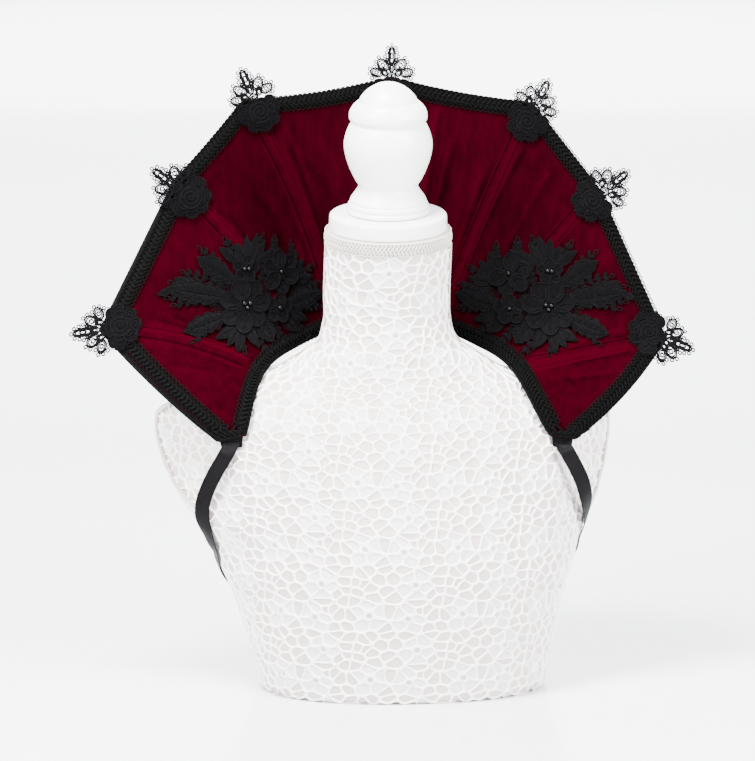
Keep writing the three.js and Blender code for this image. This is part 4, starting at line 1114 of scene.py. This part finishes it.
def flat_disc(along, aside, long, wide, turn, base, swell, rings, count, ribs, wave):
    """A filled patch of stitching, cupped or domed, with fine ribs."""
    points = []
    for r in np.arange(rings, 0, -1) / rings:
        x, y = flat_oval(along, aside, long * r, wide * r, turn, count)
        height = base + swell * (1 - r * r) + ribs * np.cos(wave * full_turn(count)) * r * (1 - r) * 4
        points.append(np.stack([x, y, height], -1))
    points.append(np.array([[along, aside, base + swell]]))
    faces = net_faces(rings, count, closed=True).tolist()
    last = (rings - 1) * count
    faces += [[last + k, last + (k + 1) % count, rings * count] for k in range(count)]
    return np.vstack(points), faces


def sew_lace(names, node, cords, patches, flat_to_view, way=1):
    """Lays cords and stitched patches on the velvet; each point keeps its own height."""
    cords = [corded(path, (0, 0, 1), radius, sides, closed) for path, radius, closed, sides in cords]
    for name, parts, finish, nodes in (
        (names[0], cords, lace_thread, [node]), (names[1], patches, satin_stitch, []),
    ):
        points, faces = bundled(parts)
        x, z = flat_to_view(points[:, 0], points[:, 1])
        laid = laid_on_velvet(x, z, points[:, 2])
        make_piece(name, laid, [f[::way] for f in faces], finish, "black_lace", nodes)


def both_ways(rows):
    return rows + [(a, -b) for a, b in rows if b]


point_low = 3.3
rose_back = 15
for number, name in enumerate(bone_names, start=1):
    root, tip = neck_ends[number][[0, 2]], rim_ends[number][[0, 2]]
    shift_x, shift_z, fan_turn = point_seats[name]
    out = (tip - root) / np.linalg.norm(tip - root)
    rose = tip - rose_back * out + (shift_x, shift_z)
    out = np.array(spun(*out, math.radians(fan_turn)))
    side = np.array([-out[1], out[0]])
    cords, patches = [], []
    for along, aside, long, wide, turn, inner in fan_loops:
        a = math.radians(turn)
        cords.append(flat_loop(along, aside, long, wide, a, 0.85, point_low + 0.8, 24))
        cords.append(flat_loop(along, aside, long - 1.5, wide - 1.35, a, 0.55, point_low + 0.7, 20))
        for k in (-3, -1, 1, 3) if inner and long > 4.5 else ():
            at = k / 3.4 * (long - 1.6)
            reach = (wide - 1.4) * math.sqrt(max(0.05, 1 - (at / (long - 0.6)) ** 2))
            line = np.linspace(-reach, reach, 4)
            x, y = spun(at, line, a)
            bar = np.stack([along + x, aside + y, point_low + 0.6 + 0 * line], -1)
            cords.append((bar, 0.42, False, 4))
        if inner:
            small = (long * inner * 0.6, wide * inner * 0.55)
            cords.append(flat_loop(along, aside, *small, a, 0.55, point_low + 0.8, 14))
    for along, aside in both_ways(edge_rings):
        cords.append(flat_loop(along, aside, 1.45, 1.45, 0, 0.6, point_low + 0.7, 10))
    for along, aside in rose_scallops:
        heading = math.atan2(aside, along + rose_back)
        patches.append(flat_disc(along, aside, 5.9, 5.6, heading, point_low + 0.5, 0.55, 4, 16, 0.25, 8))
        cords.append(flat_loop(along, aside, 5.8, 5.5, heading, 0.6, point_low + 1.0, 24))
        cords.append(flat_loop(along, aside, 3.2, 2.9, heading, 0.4, point_low + 1.2, 16))
        for a in heading + np.arange(-2, 3) * 0.55:
            cords.append(flat_loop(*stepped(along, aside, 6.6, a), 1.0, 1.0, 0, 0.38, point_low + 0.8, 8, 4))
    patches.append(flat_disc(-rose_back, 0, 12.4, 12.4, 0, point_low + 0.9, 1.3, 6, 32, 0.35, 10))
    t = np.linspace(0, 1, 84)
    turn_round = t * 5.2 * math.pi
    reach = 1.0 + 9.6 * t + 0.35 * np.sin(turn_round * 4.3) * t
    x, y = reach * np.cos(turn_round) - rose_back, reach * np.sin(turn_round)
    cords.append((np.stack([x, y, point_low + 2.6 - 1.0 * t], -1), 0.78, False, 6))
    for a in full_turn(6) + 0.4:
        cords.append(flat_loop(*stepped(-rose_back, 0, 10.2, a), 3.0, 4.6, a, 0.6, point_low + 1.7, 18))

    def to_view(along, aside):
        return (rose[k] + out[k] * (along + rose_back) + side[k] * aside for k in (0, 1))

    names = ("lace_point_cords_" + name, "lace_point_filling_" + name)
    sew_lace(names, "lace_tip_" + name, cords, patches, to_view)

# Floral motifs: two large embroidered sprays of beaded black lace, a mirrored
# pair, sewn flat on the velvet. Cupped petals and veined leaves are worked in
# satin stitch with a cord round each, and jet beads fill the flowers' hearts.
jet, add, shade = new_finish("jet_beads")
cloud = add("TexNoise", "Fac", {"Scale": 350})
gloss = add("MapRange", "Result", {"Value": cloud, "To Min": 0.05, "To Max": 0.16})
tones = {"Factor": cloud, "A": (0.0006, 0.0006, 0.0008, 1), "B": (0.0015, 0.0014, 0.0017, 1)}
shade({
    "Base Color": add("Mix", "Result", tones, data_type="RGBA"), "Roughness": gloss,
    "Specular IOR Level": 0.12, "Coat Weight": 0.08, "Coat Roughness": 0.04,
})
# Leaves: base, tip, width, lobes. Flowers: place, ring, petal, petals, beads.
spray_leaves = [
    ((16, -5), (75, 3), 18, 5), ((70, 1), (82, -3), 5, 0), ((50, 2), (66, 12.5), 8, 0), ((13, 8), (48.5, 31), 16, 4),
    ((18, -20), (56.5, -35), 16, 4), ((-10, -20), (-29, -43), 15, 4), ((-38, -12), (-82.5, 0.5), 17, 5),
    ((-48, 10), (-70, 15), 9, 1), ((-46, 14), (-60, 30), 8, 1), ((-44, 16), (-51, 38), 8, 1),
    ((-36, -22), (-54, -34), 9, 1), ((-44, -16), (-65, -24), 8, 1), ((3, 24), (-5, 53), 7.5, 0),
    ((4, 26), (5.5, 50.5), 6.5, 0), ((6, 24), (14, 44), 7, 0), ((0, 24), (-14, 46), 7, 0),
    ((-4, 26), (-32, 40), 7.5, 1), ((8, 24), (29.5, 40), 7.5, 1), ((6, -28), (28, -40.5), 8, 0),
    ((6, -28), (17, -46.5), 7, 0), ((5, -28), (7.5, -51.5), 7.5, 0), ((3, -28), (-12.5, -46.5), 8, 0),
]
spray_flowers = [
    ((-32.4, 17.5), 11.5, 8.5, 6, 1), ((2.6, -12.3), 15, 9.5, 7, 3), ((4.4, 20), 6.5, 6, 5, 2),
    ((-32.7, -14.4), 7, 7, 5, 1),
]
spray_grounds = [((-17, 0), 9), ((-50, 4), 11), ((-14, 26), 7), ((22, 8), 8), ((-20, -20), 8), ((24, -14), 8)]
# Beads in a flower's heart: one, two or three.
bead_places = {1: [(0, 0)], 2: [(-1.9, 0.4), (2.0, 0.2)], 3: [(-2.6, 1.6), (2.5, 1.3), (-0.4, -2.6)]}
bead_radius = 2.1


def embroidered_leaf(base, tip, width, lobes, low):
    """A leaf of satin stitch with a sunk midrib, slanting veins and corded edges."""
    base, tip = np.array(base, float), np.array(tip, float)
    along = tip - base
    across = np.array([-along[1], along[0]]) / np.linalg.norm(along)
    stations = 14 + 5 * lobes
    t = np.linspace(0, 1, stations)
    bump = np.abs(np.sin(math.pi * (t * (lobes + 0.5)))) if lobes else np.ones_like(t)
    half = width / 2 * (np.sin(math.pi * t**0.85) * (0.74 + 0.3 * bump) + 0.1 * (1 - t))
    grid = np.zeros((stations, 9, 3))
    slant = 0.11 if lobes else 0.05
    for i, share in enumerate(np.linspace(-1, 1, 9)):
        shift = np.clip(t + slant * abs(share) * np.sin(math.pi * t), 0, 1)
        grid[:, i, :2] = base + along * shift[:, None] + across * (share * half)[:, None]
        veins = 0.28 * np.cos(2 * math.pi * (t * (lobes * 2 + 3) - abs(share) * 0.9)) * min(abs(share) * 3, 1)
        grid[:, i, 2] = low + 0.75 + 0.85 * (1 - (2 * abs(share) - 0.9) ** 2) + veins - 0.25 * (share == 0)
    faces = net_faces(stations, 9)[:, ::-1].tolist()
    edge = np.vstack([grid[:, 0], grid[::-1, 8]])
    edge[:, 2] = low + 0.95
    gap = np.append(True, np.linalg.norm(np.diff(edge, axis=0), axis=1) > 0.25)
    rib = grid[:-1, 4].copy()
    rib[:, 2] = low + 1.55
    cords = [(edge[gap], 0.62, True, 5), (rib, 0.42, False, 5)]
    for k in range(1, lobes * 2):
        for way in (-1, 1):
            share = np.linspace(0, 0.82, 5) * way
            shift = np.clip(k / (lobes * 2) + 0.02 + 0.17 * np.abs(share), 0, 1)
            line = base + along * shift[:, None] + across * (share * np.interp(shift, t, half))[:, None]
            cords.append((np.column_stack([line, low + 1.6 + 0.25 * np.abs(share)]), 0.33, False, 4))
    return (grid.reshape(-1, 3), faces), cords


# Fern sprigs between the leaves: foot, tip and how many pairs of loops.
spray_sprigs = [
    ((20, 14), (46, 38), 4), ((20, 3), (60, 17), 5), ((24, -8), (66, -12), 5), ((20, -24), (46, -42), 4),
    ((-2, -28), (-22, -50), 4), ((-24, -22), (-42, -42), 4), ((-44, -8), (-78, -12), 5), ((-46, 6), (-76, 9), 5),
    ((-42, 22), (-44, 44), 4), ((-22, 28), (-24, 48), 4), ((12, 22), (24, 46), 4), ((-2, 30), (-10, 50), 3),
    ((10, -30), (2, -50), 3), ((-40, -16), (-60, -32), 4), ((-44, 12), (-68, 24), 4), ((-18, 2), (-20, -12), 3),
    ((-10, 6), (-14, 30), 4), ((40, 6), (70, 8), 4), ((38, -4), (72, -6), 4),
]


def sprig(foot, tip, pairs, low):
    """A stem of cord with pairs of small worked loops and one at its tip."""
    foot, tip = np.array(foot, float), np.array(tip, float)
    along = tip - foot
    long = np.linalg.norm(along)
    heading = math.atan2(along[1], along[0])
    across = np.array([-along[1], along[0]]) / long
    t = np.linspace(0, 1, 9)
    stem = foot + along * t[:, None] + across * (0.06 * long * np.sin(math.pi * t))[:, None]
    cords = [(np.column_stack([stem, low + 0.7 + 0 * t]), 0.5, False, 5)]
    for k in range(pairs):
        at = (k + 0.8) / (pairs + 0.6)
        size = 3.5 * (1 - 0.35 * at)
        centre = foot + along * at + across * 0.06 * long * math.sin(math.pi * at)
        for way in (-1, 1):
            a = heading + way * 0.75
            x, y = stepped(*centre, size * 1.05, a)
            cords.append(flat_loop(x, y, size, size * 0.5, a, 0.5, low + 0.75, 12))
            cords.append(flat_loop(x, y, size * 0.5, size * 0.18, a, 0.4, low + 0.75, 8, 4))
    x, y = tip + along / long * 1.5
    cords.append(flat_loop(x, y, 2.9, 1.5, heading, 0.5, low + 0.75, 12))
    return cords


def embroidered_flower(x, y, ring, petal, count, low):
    """A ring of cupped petals with three lines of stitching each, round a ribbed heart."""
    cords, patches = [], []
    for i in range(count):
        a = 2 * math.pi * (i + 0.3) / count
        px, py = stepped(x, y, ring, a)
        lift = low + 1.0 + 0.5 * (i % 2)
        patches.append(flat_disc(px, py, petal, petal * 0.85, a, lift + 1.3, -0.9, 6, 22, 0.22, 9))
        cords.append(flat_loop(px, py, petal, petal * 0.85, a, 0.66, lift + 1.35, 28))
        cords.append(flat_loop(px, py, petal * 0.74, petal * 0.6, a, 0.34, lift + 1.05, 20, 4))
        t = np.linspace(-0.55, 0.62, 5)
        for way in (a - 0.28, a, a + 0.28):
            line = [px + petal * t * math.cos(way), py + petal * t * math.sin(way), lift + 0.85 + 0.3 * t * t]
            cords.append((np.stack(line, -1), 0.26, False, 4))
    heart = min(ring, petal) * 0.62
    patches.append(flat_disc(x, y, heart, heart, 0, low + 2.2, 0.4, 4, 18, 0.4, 6))
    for a in full_turn(9):
        cords.append(flat_loop(*stepped(x, y, heart, a), 2.0, 1.4, a, 0.44, low + 2.9, 10, 4))
    return cords, patches


def spray(side, middle, mirror, squeeze, tilt):
    """One whole motif, laid round its middle; the left one is drawn mirrored."""
    low = 1.7

    def placed(x, y):
        x = np.where(np.asarray(x) < 0, np.asarray(x) * squeeze, x)
        x, y = spun(x, y, tilt)
        return middle[0] + mirror * x, middle[1] + y

    cords, patches, beads = [], [], []
    for (x, y), radius in spray_grounds:
        for ring in np.arange(2.4, radius, 2.6):
            count = int(6 + ring * 2)
            for a in 4 * math.pi * np.arange(count // 2) / count + ring:
                cords.append(flat_loop(*stepped(x, y, ring, a), 1.7, 1.25, a, 0.34, low + 0.5, 8, 4))
    for foot, tip, pairs in spray_sprigs:
        cords += sprig(foot, tip, pairs, low)
    for base, tip, width, lobes in spray_leaves:
        wider, above = (1.08, 0.3) if lobes == 5 else (1.05, 0)
        patch, edge = embroidered_leaf(base, tip, width * wider, lobes, low + above)
        patches.append(patch)
        cords += edge
    for (x, y), ring, petal, count, bead_count in spray_flowers:
        flower_cords, flower_patches = embroidered_flower(x, y, ring, petal, count, low)
        cords += flower_cords
        patches += flower_patches
        beads += [(x + dx, y + dy) for dx, dy in bead_places[bead_count]]
    names = ("applique_cords_" + side, "applique_stitching_" + side)
    sew_lace(names, "applique_" + side, cords, patches, placed, mirror)
    parts = []
    polar = np.linspace(0, math.pi, 13)
    for x, y in beads:
        u, v = behind(*(np.array([value]) for value in placed(x, y)))
        centre, axis = off_collar(u, v, np.array([low + 4.3]))[0], collar_facing(u, v)[0]
        path = centre - axis * (bead_radius * np.cos(polar))[:, None]
        parts.append(corded(path, (0.3, 0.1, 1.0), np.maximum(bead_radius * np.sin(polar), 0.02), 18))
    make_piece("jet_beads_" + side, *bundled(parts), jet, "black_lace")


spray("left", (-126, 352.5), -1, 0.8, math.radians(2))
spray("right", (145.8, 348), 1, 1, 0)

# Ribbon ties: two lengths of black double-faced satin, each sewn behind a front
# corner, hanging past the armhole and drawn round to a flat knot behind.
black_satin, add, shade = new_finish("black_satin")
place = add("TexCoord", "Object", {})
rows = add("TexWave", "Fac", {"Vector": place, "Scale": 900, "Distortion": 1.5})
slow = add("TexNoise", "Fac", {"Vector": place, "Scale": 60})
tones = {"Factor": slow, "A": (0.0022, 0.002, 0.0023, 1), "B": (0.0045, 0.004, 0.0045, 1)}
shade({
    "Base Color": add("Mix", "Result", tones, data_type="RGBA"),
    "Normal": add("Bump", "Normal", {"Strength": 0.25, "Distance": 0.0002, "Height": rows}),
    "Roughness": 0.34, "Anisotropic": 0.5, "Specular IOR Level": 0.02, "Sheen Weight": 0.02,
    "Sheen Roughness": 0.3,
})
ribbon_width = 13.5
over_lace = 2.9
# Each route: where it is sewn; points of the free stretch with the way its face
# looks; height and bearing of points where it lies on the form.
ribbon_routes = {
    "left": (
        (0.12, 0),
        [((-143.5, -84, 217), (-0.05, -1)), ((-151, -80, 204), (-0.1, -1)), ((-158, -74, 190), (-0.15, -1)),
         ((-163.5, -68, 175), (-0.12, -1)), ((-165, -61, 162), (-0.25, -1)), ((-162.8, -52, 149), (-0.5, -0.88)),
         ((-159.2, -44, 137), (-0.75, -0.66))],
        [(123, 186.5), (112, 180), (102, 171.5), (94, 161), (88, 148), (84, 134), (82, 120), (81, 106), (80, 92.25)],
    ),
    "right": (
        (7.88, 8),
        [((161, -51, 216), (0.05, -1)), ((168, -45, 203), (0.1, -1)), ((174.5, -37, 189), (0.2, -1)),
         ((178.5, -27, 175), (0.4, -0.92)), ((180.2, -15, 162), (0.7, -0.7)), ((180.2, -3, 149), (0.9, -0.4))],
        [(135, -4), (123, 1.5), (112, 9), (102, 18), (94, 29), (88, 40), (84, 53), (81, 67), (80, 87.75)],
    ),
}


def level_between(z):
    k = int(np.clip(np.searchsorted(body_levels[:, 0], z), 1, len(body_levels) - 1))
    t = (z - body_levels[k - 1, 0]) / (body_levels[k, 0] - body_levels[k - 1, 0])
    return body_levels[k - 1] * (1 - t) + body_levels[k] * t


def beside_form(z, degrees, off):
    """A point off the form's side or back, with the way the form faces there."""
    def at(dz, turn):
        angle = np.array([math.radians(degrees + turn)])
        return turned(level_outline(level_between(z + dz), angle), form_turn)[0]

    face = np.cross(at(0, 1) - at(0, -1), at(2, 0) - at(-2, 0))
    face = unit(face)
    return at(0, 0) + face * off, face


def in_form(p):
    z, half, side, front, mid, back, square = level_between(p[2])
    q = turned(p, -form_turn)
    if abs(q[0]) * plate_way[0] + q[1] * plate_way[1] + q[2] * plate_way[2] > plate_reach:
        return False
    depth, power = (mid - front, square) if q[1] < mid else (back - mid, 2.3)
    return (abs(q[0] - side) / half) ** power + (abs(q[1] - mid) / depth) ** power < 1


def ribbon(name, stations, count, node):
    """A ribbon through stations, each a place and the way its face looks, kept off the form."""
    at = np.arange(count + 1) / count * (len(stations) - 1)
    places, ways = through_points(np.array([place for place, _ in stations]), at)
    looks = unit(through_points(np.array([look for _, look in stations]), at)[0])
    ways = unit(ways)
    across = unit(np.cross(ways, looks)) * ribbon_width / 2
    up = unit(np.cross(across, ways))
    outs = np.zeros(count + 1)
    for i in range(count + 1):
        while outs[i] < 20 and any(
            in_form(places[i] + across[i] * share + looks[i] * (outs[i] - over_lace))
            for share in (-1, -0.5, 0, 0.5, 1)
        ):
            outs[i] += 0.25
    outs = np.max([np.roll(np.pad(outs, 4, "edge"), k)[4:-4] for k in range(-4, 5)], axis=0)
    outs = np.convolve(np.pad(outs, 4, "edge"), np.ones(9) / 9, "valid")
    shares = np.array([-1, -0.93, -0.6, -0.2, 0.2, 0.6, 0.93, 1])
    flat = (places + looks * outs[:, None])[:, None] + across[:, None] * shares[:, None]
    curl = 0.35 * (shares**2 - 0.4) * np.sin(0.35 * np.arange(count + 1))[:, None]
    edge = np.where(np.abs(shares) > 0.92, 0.3, 0.22)
    top, under = (flat + up[:, None] * (curl + side * edge)[..., None] for side in (1, -1))
    ring = np.concatenate([top, under[:, ::-1]], axis=1)
    faces = sleeve_faces(*ring.shape[:2], -1)
    piece = make_piece(name, ring.reshape(-1, 3), faces, black_satin, "black_satin", [node])


sewn_behind = -4.5
for side, (sewn, free, wrap) in ribbon_routes.items():
    stations = []
    for corner in sewn:
        u, v = np.array([float(corner)]), np.array([0.5])
        stations.append((off_collar(u, v, np.array([sewn_behind]))[0], collar_facing(u, v)[0]))
    stations += [(np.array(p, float), unit(np.array([x, y, 0]))) for p, (x, y) in free]
    stations += [beside_form(z, degrees, over_lace) for z, degrees in wrap]
    ribbon("satin_tie_" + side, stations, 110, "ribbon_" + side)
for side, way in (("left", -1), ("right", 1)):
    stations = [
        beside_form(z, 90 - way * (1.75 + 0.5 * i), off)
        for i, (z, off) in enumerate([(72.3, 3.2), (60, 3.8), (48, 4.4), (36, 4.2)])
    ]
    ribbon("satin_tie_end_" + side, stations, 24, "ribbon_end_" + side)

knot_place, knot_face = beside_form(80, 90, 5.6)
knot_across = unit(np.cross((0, 0, 1.0), knot_face))
knot_up = np.cross(knot_face, knot_across)
knot_rows, knot_round = 33, 40
share = np.linspace(-1, 1, knot_rows)
swell = np.interp(share, [-1, -0.75, -0.3, 0.3, 0.75, 1], [0.5, 0.85, 1, 1, 0.85, 0.5])
angle = full_turn(knot_round)
folded = swell[:, None] * (1 - 0.07 * np.abs(np.sin(angle * 3 + share[:, None] * 2.2)) ** 3)
knot = (
    knot_place + knot_across * (share * 8.5)[:, None, None]
    + knot_face * (4.5 * folded * np.cos(angle))[..., None]
    - knot_up * (7.5 * folded * np.sin(angle))[..., None]
)
faces = net_faces(knot_rows, knot_round, closed=True)[:, ::-1].tolist()
first, last = list(range(knot_round)), (knot_rows - 1) * knot_round
faces += [first, [last + k for k in first][::-1]]
make_piece("satin_knot", knot.reshape(-1, 3), faces, black_satin, "black_satin", ["ribbon_knot"])
